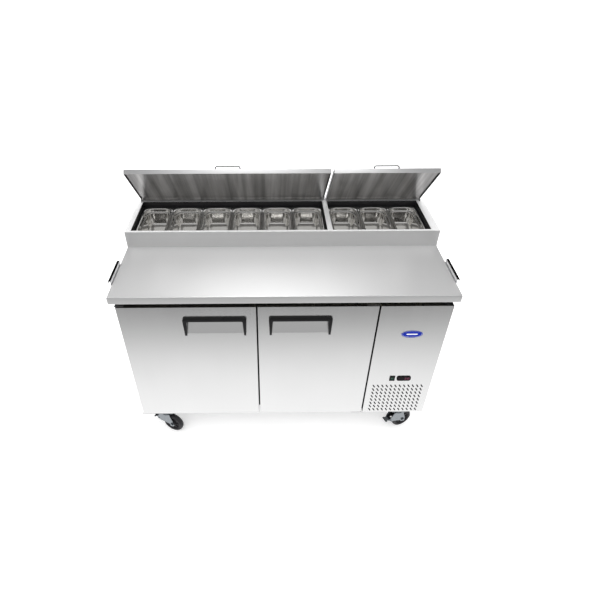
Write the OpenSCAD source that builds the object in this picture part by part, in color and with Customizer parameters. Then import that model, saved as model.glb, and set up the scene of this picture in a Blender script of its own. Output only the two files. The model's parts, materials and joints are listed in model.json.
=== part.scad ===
// Refrigerated prep table on casters: a two-door cabinet with a side machine bay,
// a stainless worktop and a raised pan rail under two hinged lids.
// Millimetres, +X to the right as seen from the front, +Y to the back, +Z up.
// The origin is on the floor, under the middle of the table.

/* [Overall] */
// Width of the worktop
table_w = 1702; // [1700:1:1760]
// Depth from the worktop's front edge to the back of the pan rail
table_d = 878; // [870:1:900]
// Height of the work surface above the floor
work_h = 1015; // [1010:1:1030]
// Height of the pan rail above the work surface
rail_rise = 90; // [90:1:100]
// Thickness of the stainless sheet
sheet = 1.5; // [1.2:0.1:1.6]

/* [Worktop] */
// Depth of the work surface in front of the pan rail
worktop_d = 480; // [478:1:482]
// Height of the worktop's turned-down lip
lip_h = 40; // [38:1:42]
// Length of the board bracket on each side
bracket_len = 196; // [160:1:220]

/* [Cabinet] */
// How far each cabinet side stands in from the worktop's edge
cabinet_inset = 15; // [14:1:16]
// Underside of the cabinet above the floor
base_h = 160; // [160:1:162]
// Thickness of the foam walls
wall_t = 45; // [42:1:48]
// X position of the gap between the two doors
door_split = -137; // [-140:1:-130]
// X position of the gap between the right door and the machine bay
bay_split = 472; // [470:1:474]

/* [Doors] */
// Distance of the door fronts behind the worktop's front edge
door_setback = 22; // [20:1:24]
// Thickness of a door
door_t = 58; // [56:1:60]
// Height of the gap between the worktop's lip and the doors
door_top_gap = 37; // [34:1:40]
// Gap between neighbouring doors and panels
door_gap = 9; // [9:1:10]
// Width of a door grip
grip_w = 320; // [300:1:330]
// Height of a door grip
grip_h = 106; // [96:1:112]

/* [Pan rail] */
// Number of pans in the left opening
left_pans = 6; // [6]
// Number of pans in the right opening
right_pans = 3; // [3]
// Distance from one pan to the next
pan_pitch = 175; // [175:0.5:176]
// Width of a pan over its rim
pan_w = 174; // [172:0.5:174]
// Length of a pan over its rim
pan_len = 324; // [320:1:325]
// Depth of a pan
pan_depth = 100; // [80:1:100]
// Depth of the pan rims below the rail's deck
pan_recess = 30; // [28:1:30]

/* [Lids] */
// Angle at which the lids stand open
lid_open = 45; // [30:1:60]
// Thickness of a lid
lid_t = 25; // [22:1:26]
// Width of a lid handle
lid_handle_w = 128; // [110:1:140]

/* [Casters] */
// Diameter of the wheels
wheel_d = 127; // [120:1:127]
// Width of the wheels
wheel_w = 32; // [28:1:32]
// Distance from the swivel axis to the wheel's axle
trail = 36; // [32:1:38]
// Turn of the front wheels away from the table's width
caster_turn = 22; // [0:1:22]

/* [Hidden] */
$fn = 48;
EPS = 0.5;
FIT = 0.06;
GAP = 0.3;
SEAM = 0.2;

// Overall planes
front = -table_d / 2;
back = table_d / 2;
half_w = table_w / 2;
deck_z = work_h + rail_rise;
lip_z = work_h - lip_h;

// Cabinet planes
cab_x = half_w - cabinet_inset;
cab_top = lip_z - 1;
door_y = front + door_setback;
door_z0 = base_h + 2;
door_z1 = lip_z - door_top_gap;
gasket_space = 8;
frame_y = door_y + door_t + gasket_space;
frame_t = 12;
cab_y0 = frame_y + frame_t;
cab_y1 = back - 4;

// Cold compartment
cav_x0 = -cab_x + sheet + wall_t;
cav_x1 = bay_split - sheet - wall_t;
cav_y1 = cab_y1 - sheet - wall_t;
cav_z0 = base_h + sheet + wall_t;
cav_z1 = cab_top - wall_t;
bay_foam = 35;
liner_t = 1;
throat_y0 = front + worktop_d + 30;
throat_y1 = cav_y1 - 7.5;
throat_x1 = cav_x1 - 4;
throat_x0 = cav_x0 + 4;

// Door leaves
left_door_x0 = -cab_x + 6;
left_door_x1 = door_split - door_gap / 2;
right_door_x0 = door_split + door_gap / 2;
right_door_x1 = bay_split - door_gap / 2;
panel_x0 = bay_split + door_gap / 2;
door_return = 50;
pivot_in = 9;
pivot_back = 12;
pivot_r = 4;
pivot_len = 20;
seal_in = 14;
seal_w = 14;
seal_t = gasket_space - 1;
frame_in = 34;
grip_z1 = door_z1 - 62;
grip_z0 = grip_z1 - grip_h;
left_grip_x = -350;
right_grip_x = 82;
grip_out = 14;
grip_bar = 19;
leg_top = 20;
leg_foot = 11;
pocket_top = grip_z1 - 8;
pocket_depth = 24;

// Pan rail
rail_y0 = front + worktop_d;
open_y0 = rail_y0 + 16;
open_y1 = back - 16;
left_open_x0 = -half_w + 32;
left_open_x1 = left_open_x0 + left_pans * pan_pitch + 12;
right_open_x0 = left_open_x1 + 28;
right_open_x1 = right_open_x0 + right_pans * pan_pitch + 9;
collar_t = 4;
ledge_t = 6;
ledge_w = 29;
pan_bar_w = 12;
rim_t = 2;
rim_z = deck_z - pan_recess;
pan_y = (open_y0 + open_y1) / 2;
pan_flange = 9;
pan_wall = 1.2;
well_clear = 6;
well_z0 = rim_z - pan_depth - well_clear;
well_y1 = cav_y1 + 30;
pan_corner = 34;
left_pan_x0 = left_open_x0 + 6 + pan_pitch / 2;
right_pan_x0 = right_open_x0 + 4.5 + pan_pitch / 2;

// Lids, drawn closed and turned about the hinge axis
lid_side = 4;
lid_lift = 2.5;
lid_recess = 8;
handle_r = 3.5;
handle_rise = 20;
handle_in = 16;
lid_y = back - 20;
lid_z = deck_z + 17;
lid_rear = 7.5;
lid_front = open_y0 - 10 - lid_y;
lid_z0 = deck_z + lid_lift - lid_z;
split_x = (left_open_x1 + right_open_x0) / 2;
left_lid_x0 = left_open_x0 - 2;
left_lid_x1 = split_x - 7;
right_lid_x0 = split_x + 7;
right_lid_x1 = right_open_x1 + 14;
lid_pin_r = 4;
lid_pin_len = 16;
lid_boss_len = 14;
lid_boss_r = 7;
plate_t = 3;

// Machine bay
bay_x0 = bay_split;
bay_x1 = cab_x - sheet;
bay_mid = (panel_x0 + cab_x) / 2;
coil_x0 = bay_x0 + 28;
coil_x1 = coil_x0 + 290;
coil_y0 = cab_y0 + 24;
coil_y1 = coil_y0 + 54;
coil_z0 = base_h + 22;
coil_z1 = coil_z0 + 290;
fan_x = (coil_x0 + coil_x1) / 2;
fan_z = (coil_z0 + coil_z1) / 2;
fan_r = 118;
shroud_d = 34;
fan_y = coil_y1 + 20;
motor_r = 34;
comp_x = bay_mid + 8;
comp_y = 170;
comp_r = 92;
comp_z0 = base_h + sheet;
comp_feet = 16;
stub_len = 8;
discharge_z = 290;
louvers = 10;
louver_in = 50;
louver_z0 = 240;
louver_dz = 26;
louver_h = 8;
inlet_x = bay_x0 + 60;
inlet_z = base_h + 44;
inlet_r = 11;
inlet_bore = 4.5;
suction_z = 270;

// Controls, from the middle of the machine bay's panel
badge_z = door_z1 - 177;
badge_w = 115;
badge_h = 51;
control_z = door_z1 - 496;
rocker_x = 610;
thermo_x = 675;
thermo_w = 78;
thermo_h = 34;
switch_w = 30;
switch_h = 36;
rocker_tilt = 8;
grille_cols = 12;
grille_rows = 8;
grille_x0 = 516;
grille_dx = 24.8;
grille_z0 = door_z0 + 22;
grille_dz = 28;
slot_len = 25;
slot_r = 3.6;
slot_tilt = 58;

// Evaporator
evap_x0 = -340;
evap_x1 = -20;
evap_y0 = cav_y1 - 130;
evap_z0 = 640;
evap_z1 = 880;
evap_fan_x = (evap_x0 + evap_x1) / 2;
evap_fan_z = (evap_z0 + evap_z1) / 2;
evap_fan_r = 74;
blade_tilt = 24;
blade_t = 1.6;
hub_len = 16;
tube_r = 5;
tube_hole = 6.5;
tube_y = cav_y1 - 30;
tube_z = 860;
tube_dz = 26;

// Shelves
shelf_z = 520;
shelf_y0 = cab_y0 + 40;
shelf_y1 = cav_y1 - 150;
shelf_r = 3.5;
wire_r = 2;
wire_step = 40;
clip_w = 14;
clip_t = 3;
shelf_gap = 20;
post_t = 4;
left_shelf_x0 = cav_x0 + shelf_gap;
left_shelf_x1 = door_split - 16;
right_shelf_x0 = door_split + 16;
right_shelf_x1 = cav_x1 - shelf_gap;

// Casters
wheel_r = wheel_d / 2;
axle_r = 6;
king_r = 8;
caster_x = 700;
front_caster_y = front + 55;
rear_caster_y = back - 100;
corner_in = 50;
corner_d = 120;
caster_plate_w = 92;
caster_plate_d = 60;
caster_plate_t = 4;
race_r = 28;
race_t = 9;
plate_z = base_h - plate_t - caster_plate_t;
fork_top = plate_z - race_t - GAP;
fork_in = wheel_w / 2 + 3.5;
fork_t = 3;
brake_x = -52;
brake_z = 26;
brake_r = 4;
front_left_turn = -caster_turn;
front_right_turn = caster_turn;
rear_left_turn = 60;
rear_right_turn = 120;

// Fasteners
bracket_screw_r = 5;
caster_bolt_r = 7;
caster_bolt_x = 37;
caster_bolt_y = 21;
rear_screw_r = 4.5;
bracket_y0 = front + 112;
bracket_reach = 13;

// A box between two opposite corners
module block(lo, hi) {
    translate(lo) cube(hi - lo);
}

// A flat slab with the four upright edges rounded
module round_slab(w, d, h, r) {
    linear_extrude(h) {
        square([w - 2 * r, d], center = true);
        square([w, d - 2 * r], center = true);
        for (x = [-1, 1], y = [-1, 1])
            translate([x * (w / 2 - r), y * (d / 2 - r)]) circle(r);
    }
}

// A cylinder along X from a point
module rod_x(p, r, len) {
    translate(p) rotate([0, 90, 0]) cylinder(r = r, h = len);
}

// A cylinder along Y from a point
module rod_y(p, r, len) {
    translate(p) rotate([-90, 0, 0]) cylinder(r = r, h = len);
}

// A tube of radius r through a list of points that turn square corners
module pipe(points, r) {
    for (i = [0 : len(points) - 2]) {
        d = points[i + 1] - points[i];
        run = norm(d);
        turn = d[0] != 0 ? [0, 90 * sign(d[0]), 0]
             : d[1] != 0 ? [-90 * sign(d[1]), 0, 0]
             : [d[2] < 0 ? 180 : 0, 0, 0];
        translate(points[i]) rotate(turn) cylinder(r = r, h = run);
        if (i > 0) translate(points[i]) sphere(r);
    }
}

// The two holes that the refrigerant tubes pass through
module tube_holes(x0, x1) {
    for (i = [0, 1])
        rod_x([x0, tube_y, tube_z - i * tube_dz], tube_hole, x1 - x0);
}

// ---------------------------------------------------------------- cabinet

// Outer sheets with a seam between neighbours: two sides, floor, back and the bay's divider
module cabinet_shell() {
    inner = sheet + SEAM;
    color("silver") {
        for (s = [0, 1]) mirror([s, 0, 0])
            block([cab_x - sheet, cab_y0, base_h], [cab_x, cab_y1, cab_top]);
        block([-cab_x + inner, cab_y0, base_h], [cab_x - inner, cab_y1, base_h + sheet]);
        difference() {
            block([-cab_x + inner, cab_y1 - sheet, base_h + inner], [cab_x - inner, cab_y1, cab_top]);
            rear_louvers();
            cord_hole();
        }
        difference() {
            block([bay_split - sheet, cab_y0, base_h + inner], [bay_split, cab_y1 - inner, well_z0 - GAP]);
            tube_holes(bay_split - sheet - EPS, bay_split + EPS);
        }
    }
}

module rear_louvers() {
    for (i = [0 : louvers - 1])
        block([bay_x0 + louver_in, cab_y1 - sheet - EPS, louver_z0 + i * louver_dz],
              [bay_x1 - louver_in, cab_y1 + EPS, louver_z0 + i * louver_dz + louver_h]);
}

module cord_hole() {
    rod_y([inlet_x, cab_y1 - sheet - EPS, inlet_z], inlet_r + FIT, sheet + 2 * EPS);
}

// Foam slabs round the cold compartment, over the machine bay and under the worktop
module foam_insulation() {
    x0 = -cab_x + sheet;
    x1 = bay_split - sheet;
    y1 = cab_y1 - sheet;
    z0 = cav_z0 + SEAM;
    by_tubes = tube_y - 2 * tube_hole;
    color("khaki") {
        block([x0, cab_y0, base_h + sheet + SEAM], [x1, y1 - SEAM, cav_z0]);
        block([x0, cab_y0, z0], [cav_x0, y1 - SEAM, well_z0]);
        block([cav_x0 + SEAM, cav_y1, z0], [cav_x1 - SEAM, y1 - SEAM, well_z0]);
        block([cav_x1, cab_y0, z0], [x1, by_tubes, well_z0]);
        difference() {
            block([cav_x1, by_tubes + SEAM, z0], [x1, y1 - SEAM, well_z0]);
            tube_holes(cav_x1 - EPS, bay_split);
        }
        block([cav_x0 + SEAM, cab_y0, cav_z1], [cav_x1 - SEAM, throat_y0, well_z0]);
        block([bay_split, rail_y0 + SEAM, well_z0 - bay_foam], [bay_x1, y1 - SEAM, well_z0]);
        block([x0, cab_y0, well_z0 + SEAM], [bay_x1, rail_y0, work_h - sheet]);
    }
}

// Inner sheets of the cold compartment, with the ceiling open into the pan rail's well
module cabinet_liner() {
    t = liner_t;
    z0 = cav_z0 + t + SEAM;
    y1 = cav_y1 - t - SEAM;
    x0 = cav_x0 + t + SEAM;
    x1 = cav_x1 - t - SEAM;
    color("whitesmoke") {
        block([cav_x0, cab_y0, cav_z0], [cav_x1, cav_y1, cav_z0 + t]);
        block([cav_x0, cav_y1 - t, z0], [cav_x1, cav_y1, cav_z1]);
        block([cav_x0, cab_y0, z0], [cav_x0 + t, y1, cav_z1]);
        difference() {
            block([cav_x1 - t, cab_y0, z0], [cav_x1, y1, cav_z1]);
            tube_holes(cav_x1 - t - EPS, cav_x1 + EPS);
        }
        block([x0, cab_y0, cav_z1 - t], [x1, throat_y0, cav_z1]);
        block([x0, throat_y1, cav_z1 - t], [x1, y1, cav_z1]);
    }
}

module face_frame() {
    color("#181818") difference() {
        block([-cab_x, frame_y, base_h], [cab_x, cab_y0, cab_top]);
        block([left_door_x0 + frame_in, frame_y - EPS, door_z0 + frame_in],
              [left_door_x1 - frame_in, cab_y0 + EPS, door_z1 - frame_in]);
        block([right_door_x0 + frame_in, frame_y - EPS, door_z0 + frame_in],
              [right_door_x1 - frame_in, cab_y0 + EPS, door_z1 - frame_in]);
        block([panel_x0 + 24, frame_y - EPS, base_h + 12],
              [cab_x - 12, cab_y0 + EPS, door_z1 - 12]);
    }
}

module worktop() {
    color("gainsboro") difference() {
        block([-half_w, front, lip_z], [half_w, rail_y0, work_h]);
        block([-half_w + sheet, front + sheet, lip_z + sheet],
              [half_w - sheet, rail_y0 + EPS, work_h - sheet]);
        block([-half_w + 12, front + 26, lip_z - EPS],
              [half_w - 12, rail_y0 + EPS, lip_z + sheet + EPS]);
    }
}

module board_brackets() {
    y0 = bracket_y0;
    y1 = y0 + bracket_len;
    t = 2;
    top = work_h + 18;
    x1 = half_w + bracket_reach;
    color("silver") for (s = [0, 1]) mirror([s, 0, 0]) {
        block([half_w, y0, work_h - 32], [half_w + t, y1, top]);
        block([half_w, y0, top - t], [x1, y1, top]);
        block([x1 - t, y0, top - 10], [x1, y1, top]);
    }
}

// ---------------------------------------------------------------- pan rail

module opening_pair(grow, z0, z1) {
    block([left_open_x0 - grow, open_y0 - grow, z0],
          [left_open_x1 + grow, open_y1 + grow, z1]);
    block([right_open_x0 - grow, open_y0 - grow, z0],
          [right_open_x1 + grow, open_y1 + grow, z1]);
}

module rail_housing() {
    color("whitesmoke") difference() {
        block([-half_w, rail_y0, lip_z], [half_w, back, deck_z]);
        block([-half_w + sheet, rail_y0 + sheet, lip_z - EPS],
              [half_w - sheet, back - sheet, deck_z - sheet]);
        opening_pair(0, deck_z - 2 * sheet, deck_z + EPS);
    }
}

module well_collars() {
    z1 = deck_z - sheet;
    z0 = rim_z - rim_t - GAP - ledge_t;
    color("#101010") for (side = [0, 1]) {
        x0 = side == 0 ? left_open_x0 : right_open_x0;
        x1 = side == 0 ? left_open_x1 : right_open_x1;
        difference() {
            block([x0 - collar_t, open_y0 - collar_t, z0],
                  [x1 + collar_t, open_y1 + collar_t, z1]);
            block([x0, open_y0, z0 + ledge_t], [x1, open_y1, z1 + EPS]);
            block([x0 + 10, open_y0 + ledge_w, z0 - EPS],
                  [x1 - 10, open_y1 - ledge_w, z1]);
        }
    }
}

// The well's sheet walls and floor, with the bars that carry the pans' long sides
module rail_liner() {
    z1 = rim_z - rim_t - GAP - ledge_t;
    x0 = left_open_x0 - collar_t;
    x1 = right_open_x1 + collar_t;
    y0 = open_y0 - collar_t;
    color("silver") {
        difference() {
            block([x0, y0, well_z0], [x1, well_y1, z1]);
            block([x0 + liner_t, y0 + liner_t, well_z0 + liner_t], [x1 - liner_t, well_y1 - liner_t, z1 + EPS]);
            block([throat_x0, throat_y0, well_z0 - EPS], [throat_x1, throat_y1, well_z0 + 2 * liner_t]);
        }
        for (i = [1 : left_pans - 1])
            pan_bar(left_pan_x0 + (i - 0.5) * pan_pitch, z1);
        for (i = [1 : right_pans - 1])
            pan_bar(right_pan_x0 + (i - 0.5) * pan_pitch, z1);
    }
}

module pan_bar(x, z1) {
    block([x - pan_bar_w / 2, open_y0 + ledge_w, z1 - 2],
          [x + pan_bar_w / 2, open_y1 - ledge_w, z1 + ledge_t]);
}

// A third-size food pan with its rim at rim_z, centred on x
module pan(x) {
    color("lightgray") translate([x, pan_y, 0]) difference() {
        union() {
            translate([0, 0, rim_z - rim_t])
                round_slab(pan_w, pan_len, rim_t, 14);
            translate([0, 0, rim_z - pan_depth])
                round_slab(pan_w - 2 * pan_flange, pan_len - 2 * pan_flange - 4,
                           pan_depth - rim_t + EPS, pan_corner);
        }
        translate([0, 0, rim_z - pan_depth + pan_wall])
            round_slab(pan_w - 2 * pan_flange - 2 * pan_wall,
                       pan_len - 2 * pan_flange - 4 - 2 * pan_wall,
                       pan_depth, pan_corner - pan_wall);
    }
}

module pan_number(n) {
    if (n <= left_pans) pan(left_pan_x0 + (n - 1) * pan_pitch);
    else pan(right_pan_x0 + (n - 1 - left_pans) * pan_pitch);
}

// ---------------------------------------------------------------- lids

// Places closed-lid geometry, drawn from the hinge axis, at the open angle
module lid_place() {
    translate([0, lid_y, lid_z]) rotate([-lid_open, 0, 0]) children();
}

module lid_shell(x0, x1) {
    z1 = lid_z0 + lid_t;
    color("silver") lid_place() difference() {
        union() {
            difference() {
                block([x0, lid_front, lid_z0], [x1, lid_rear, z1]);
                block([x0 + sheet, lid_front + sheet, lid_z0 - EPS],
                      [x1 - sheet, lid_rear - sheet, z1 - sheet]);
            }
            rod_x([x0 + EPS, 0, 0], lid_boss_r, lid_boss_len - EPS);
            rod_x([x1 - lid_boss_len, 0, 0], lid_boss_r, lid_boss_len - EPS);
        }
        rod_x([x0 - EPS, 0, 0], lid_pin_r + FIT, lid_boss_len + 2 * EPS);
        rod_x([x1 - lid_boss_len - EPS, 0, 0], lid_pin_r + FIT, lid_boss_len + 2 * EPS);
    }
}

// Foam-backed inner panel that closes the lid from below
module lid_liner(x0, x1) {
    color("gray") lid_place()
        block([x0 + sheet, lid_front + sheet, lid_z0 + lid_recess],
              [x1 - sheet, -lid_boss_r - 2, lid_z0 + lid_t - sheet]);
}

// Bent-wire pull on the lid's top edge
module lid_handle(x) {
    z0 = lid_z0 + lid_t;
    z1 = z0 + handle_rise;
    y = lid_front + handle_in;
    x0 = x - lid_handle_w / 2;
    x1 = x + lid_handle_w / 2;
    color("lightgray") lid_place()
        pipe([[x0, y, z0], [x0, y, z1], [x1, y, z1], [x1, y, z0]], handle_r);
}

// Plates fixed to the cabinet: lid hinges and door pivots with their pins, and corner plates
module hinge_brackets() {
    color("dimgray") {
        lid_bracket(left_lid_x0 - lid_side, 1, 0);
        lid_bracket(right_lid_x1 + lid_side, 0, 1);
        lid_bracket(split_x, 1, 1);
        door_pivots(left_door_x0 + pivot_in, left_door_x0 - 4, left_door_x0 + 40);
        door_pivots(right_door_x1 - pivot_in, right_door_x1 - 60, right_door_x1 + 4);
        corner_plate(left_door_x0 - 4, left_door_x0 + 190, door_y + 3);
        corner_plate(caster_x - corner_in, caster_x + corner_in, door_y + 3);
        for (x = [-caster_x, caster_x])
            corner_plate(x - corner_in, x + corner_in, rear_caster_y - corner_d / 2);
    }
}

// Plate under a corner of the cabinet that a caster bolts up into
module corner_plate(x0, x1, y) {
    block([x0, y, base_h - plate_t], [x1, y + corner_d, base_h]);
}

// Lid bracket on the deck, with a pin to the right, to the left or both
module lid_bracket(x, right, left) {
    foot = 10;
    block([x - plate_t / 2, lid_y - 13, deck_z], [x + plate_t / 2, lid_y + 18, deck_z + 30]);
    block([x - foot, lid_y + 14, deck_z], [x + foot, lid_y + 18, deck_z + 8]);
    if (right == 1) rod_x([x, lid_y, lid_z], lid_pin_r, lid_pin_len);
    if (left == 1) rod_x([x - lid_pin_len, lid_y, lid_z], lid_pin_r, lid_pin_len);
}

module door_pivots(x, x0, x1) {
    y = door_y + pivot_back;
    top = door_z1 + 3;
    bottom = base_h - plate_t;
    block([x0, y - 9, top], [x1, frame_y, top + plate_t]);
    block([x0, frame_y - plate_t, top], [x1, frame_y, top + 26]);
    translate([x, y, top - pivot_len]) cylinder(r = pivot_r, h = pivot_len + plate_t);
    block([x0, y - 9, bottom], [x1, frame_y + 10, base_h]);
    translate([x, y, bottom]) cylinder(r = pivot_r, h = pivot_len + plate_t);
}

// ---------------------------------------------------------------- doors

// Finger pocket behind a grip: deepest under the bar, flush at the bottom
module grip_pocket(x, grow) {
    w = grip_w - 2 * leg_top + 8;
    z0 = grip_z0 + 6 - grow;
    z1 = pocket_top + grow;
    depth = pocket_depth + grow;
    translate([x - w / 2 - grow, door_y - EPS, 0]) rotate([90, 0, 90])
        linear_extrude(w + 2 * grow)
            polygon([[0, z0], [EPS, z0], [depth + EPS, z1 - 14], [depth + EPS, z1], [0, z1]]);
}

module pivot_bores(x) {
    for (z = [door_z0 - EPS, door_z1 - pivot_len - 2])
        translate([x, door_y + pivot_back, z]) cylinder(r = pivot_r + FIT, h = pivot_len + 2 + EPS);
}

module door_skin(x0, x1, grip_x, pivot_x) {
    color("lightgray") difference() {
        union() {
            difference() {
                block([x0, door_y, door_z0], [x1, door_y + door_return, door_z1]);
                block([x0 + sheet, door_y + sheet, door_z0 + sheet],
                      [x1 - sheet, door_y + door_return + EPS, door_z1 - sheet]);
            }
            intersection() {
                grip_pocket(grip_x, sheet);
                block([x0, door_y, door_z0], [x1, door_y + door_return, door_z1]);
            }
        }
        grip_pocket(grip_x, 0);
        pivot_bores(pivot_x);
    }
}

// Inner panel with its bonded foam, filling the skin
module door_liner(x0, x1, grip_x, pivot_x) {
    color("white") difference() {
        union() {
            block([x0 + sheet, door_y + sheet, door_z0 + sheet],
                  [x1 - sheet, door_y + door_return, door_z1 - sheet]);
            block([x0 + 3, door_y + door_return - EPS, door_z0 + 3],
                  [x1 - 3, door_y + door_t, door_z1 - 3]);
        }
        grip_pocket(grip_x, sheet);
        pivot_bores(pivot_x);
    }
}

module door_gasket(x0, x1) {
    color("#505050") difference() {
        block([x0 + seal_in, door_y + door_t, door_z0 + seal_in],
              [x1 - seal_in, door_y + door_t + seal_t, door_z1 - seal_in]);
        block([x0 + seal_in + seal_w, door_y + door_t - EPS, door_z0 + seal_in + seal_w],
              [x1 - seal_in - seal_w, door_y + door_t + seal_t + EPS, door_z1 - seal_in - seal_w]);
    }
}

// Moulded grip trim: a bar across the pocket's top and a tapering leg down each side
module door_grip(x) {
    r = 10;
    color("#0c0c0c") translate([x, door_y, 0]) rotate([90, 0, 0]) linear_extrude(grip_out)
        union() {
            translate([-grip_w / 2 + r, grip_z1 - grip_bar]) square([grip_w - 2 * r, grip_bar]);
            for (s = [0, 1]) mirror([s, 0]) {
                translate([grip_w / 2 - r, grip_z1 - r]) circle(r);
                polygon([[grip_w / 2, grip_z1 - r], [grip_w / 2 - leg_top, grip_z1 - r],
                         [grip_w / 2 - leg_top + 2, grip_z1 - grip_bar],
                         [grip_w / 2 - leg_foot - 4, grip_z0], [grip_w / 2 - 4, grip_z0]]);
            }
        }
}

// ---------------------------------------------------------------- machine bay front

module grille_slots() {
    for (i = [0 : grille_cols - 1], j = [0 : grille_rows - 1])
        translate([grille_x0 + i * grille_dx, 0, grille_z0 + j * grille_dz])
            rotate([90, 0, 0]) rotate(-slot_tilt) linear_extrude(4 * sheet, center = true) {
                square([slot_len - 2 * slot_r, 2 * slot_r], center = true);
                for (s = [-1, 1]) translate([s * (slot_len / 2 - slot_r), 0]) circle(slot_r, $fn = 16);
            }
}

module front_panel() {
    color("lightgray") difference() {
        block([panel_x0, door_y, door_z0], [cab_x, frame_y, door_z1]);
        block([panel_x0 + sheet, door_y + sheet, door_z0 + sheet],
              [cab_x - sheet, frame_y + EPS, door_z1 - sheet]);
        translate([0, door_y, 0]) grille_slots();
        block([rocker_x - switch_w / 2 + 3, door_y - EPS, control_z - switch_h / 2 + 3],
              [rocker_x + switch_w / 2 - 3, door_y + 3, control_z + switch_h / 2 - 3]);
        block([thermo_x - thermo_w / 2 + 4, door_y - EPS, control_z - thermo_h / 2 + 3],
              [thermo_x + thermo_w / 2 - 4, door_y + 3, control_z + thermo_h / 2 - 3]);
    }
}

// Blank oval badge plate
module badge() {
    t = 2;
    points = 60;
    color("royalblue") translate([bay_mid + 4, door_y, badge_z]) rotate([90, 0, 0])
        linear_extrude(t)
            polygon([for (i = [0 : points - 1])
                [badge_w / 2 * cos(i * 360 / points), badge_h / 2 * sin(i * 360 / points)]]);
}

module control_modules() {
    w = switch_w - 6 - 2 * GAP;
    h = switch_h - 6 - 2 * GAP;
    color("#161616") {
        difference() {
            union() {
                block([rocker_x - switch_w / 2, door_y - 3, control_z - switch_h / 2],
                      [rocker_x + switch_w / 2, door_y, control_z + switch_h / 2]);
                block([rocker_x - w / 2, door_y - EPS, control_z - h / 2],
                      [rocker_x + w / 2, door_y + 26, control_z + h / 2]);
            }
            block([rocker_x - 8, door_y - 4, control_z - 13],
                  [rocker_x + 8, door_y + 16, control_z + 13]);
            rod_x([rocker_x - 10, door_y + 5, control_z], 1.5 + FIT, 20);
        }
        translate([thermo_x, door_y, control_z]) rotate([90, 0, 0])
            round_slab(thermo_w, thermo_h, 4, 12);
        block([thermo_x - thermo_w / 2 + 4.3, door_y - EPS, control_z - thermo_h / 2 + 3.3],
              [thermo_x + thermo_w / 2 - 4.3, door_y + 60, control_z + thermo_h / 2 - 3.3]);
    }
}

// Rocker of the power switch on its cross pin, pressed at the top
module power_rocker() {
    color("seagreen") translate([rocker_x, door_y + 5, control_z]) rotate([rocker_tilt, 0, 0]) {
        block([-7.4, -9, -11], [7.4, 2, 11]);
        rod_x([-9.6, 0, 0], 1.5, 19.2);
    }
}

// ---------------------------------------------------------------- machine

module compressor() {
    z0 = comp_z0 + comp_feet;
    body_h = 120;
    color("#202020") translate([comp_x, comp_y, 0]) {
        for (x = [-1, 1], y = [-1, 1])
            translate([x * 80, y * 80, comp_z0]) cylinder(r = 14, h = comp_feet);
        translate([-100, -100, z0]) cube([200, 200, 4]);
        translate([0, 0, z0 + 4]) cylinder(r = comp_r, h = body_h);
        translate([0, 0, z0 + 4 + body_h]) intersection() {
            translate([0, 0, -EPS]) cylinder(r = comp_r, h = 60);
            translate([0, 0, 46 - comp_r * 1.15]) sphere(comp_r * 1.15, $fn = 64);
        }
        translate([-30, -comp_r - 26, z0 + 50]) cube([60, 36, 60]);
        rod_x([comp_r - 14, 0, discharge_z], 8, 14 + stub_len);
        rod_x([-comp_r - stub_len, 0, suction_z], 8, 14 + stub_len);
    }
}

module condenser_coil() {
    fins = 44;
    pitch = (coil_x1 - coil_x0 - 6) / fins;
    color("gray") {
        for (i = [0 : fins])
            block([coil_x0 + 3 + i * pitch - 0.4, coil_y0, coil_z0 + 3],
                  [coil_x0 + 3 + i * pitch + 0.4, coil_y1, coil_z1 - 3]);
        for (x = [coil_x0, coil_x1 - 2])
            block([x, coil_y0 - 2, base_h + sheet], [x + 2, coil_y1 + 2, coil_z1]);
        for (z = [coil_z0, coil_z1 - 3])
            block([coil_x0, coil_y0 - 2, z], [coil_x1, coil_y1 + 2, z + 3]);
        for (j = [0 : 5], k = [0, 1])
            rod_x([coil_x0 - 6, coil_y0 + 14 + k * 26, coil_z0 + 30 + j * 46], 4.5,
                  coil_x1 - coil_x0 + 12);
        difference() {
            block([coil_x0, coil_y1 + 2, coil_z0], [coil_x1, coil_y1 + shroud_d, coil_z1]);
            block([coil_x0 + 2, coil_y1 + 1, coil_z0 + 2],
                  [coil_x1 - 2, coil_y1 + shroud_d - 2, coil_z1 - 2]);
            rod_y([fan_x, coil_y1, fan_z], fan_r + 6, shroud_d + EPS);
        }
        fan_motor();
    }
}

// Fan motor on its two arms, with a shaft that carries the blades
module fan_motor() {
    y = coil_y1 + shroud_d + 8;
    rod_y([fan_x, y, fan_z], motor_r, 48);
    rod_y([fan_x, fan_y - 8, fan_z], 4, y - fan_y + 9);
    for (s = [-1, 1]) {
        block([fan_x - 8, y + 20, fan_z + min(s * 30, s * 136)],
              [fan_x + 8, y + 24, fan_z + max(s * 30, s * 136)]);
        block([fan_x - 8, coil_y1 + shroud_d, fan_z + s * 134 - 2],
              [fan_x + 8, y + 24, fan_z + s * 134 + 2]);
    }
}

// Fan with a bored hub, centred on the shaft at y
module fan(x, y, z, r, bore, blades) {
    hub_r = r * 0.24;
    chord = r * 0.52;
    translate([x, y, z]) rotate([90, 0, 0]) difference() {
        union() {
            cylinder(r = hub_r, h = hub_len, center = true);
            for (i = [0 : blades - 1]) rotate(i * 360 / blades)
                intersection() {
                    translate([hub_r - 2, 0, 0]) rotate([blade_tilt, 0, 0])
                        translate([0, -chord / 2, -blade_t / 2]) cube([r - hub_r + 2, chord, blade_t]);
                    cylinder(r = r, h = 90, center = true);
                }
        }
        cylinder(r = bore, h = 40, center = true);
    }
}

module condenser_fan() {
    color("#303030") fan(fan_x, fan_y, fan_z, fan_r, 4 + FIT, 5);
}

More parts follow.
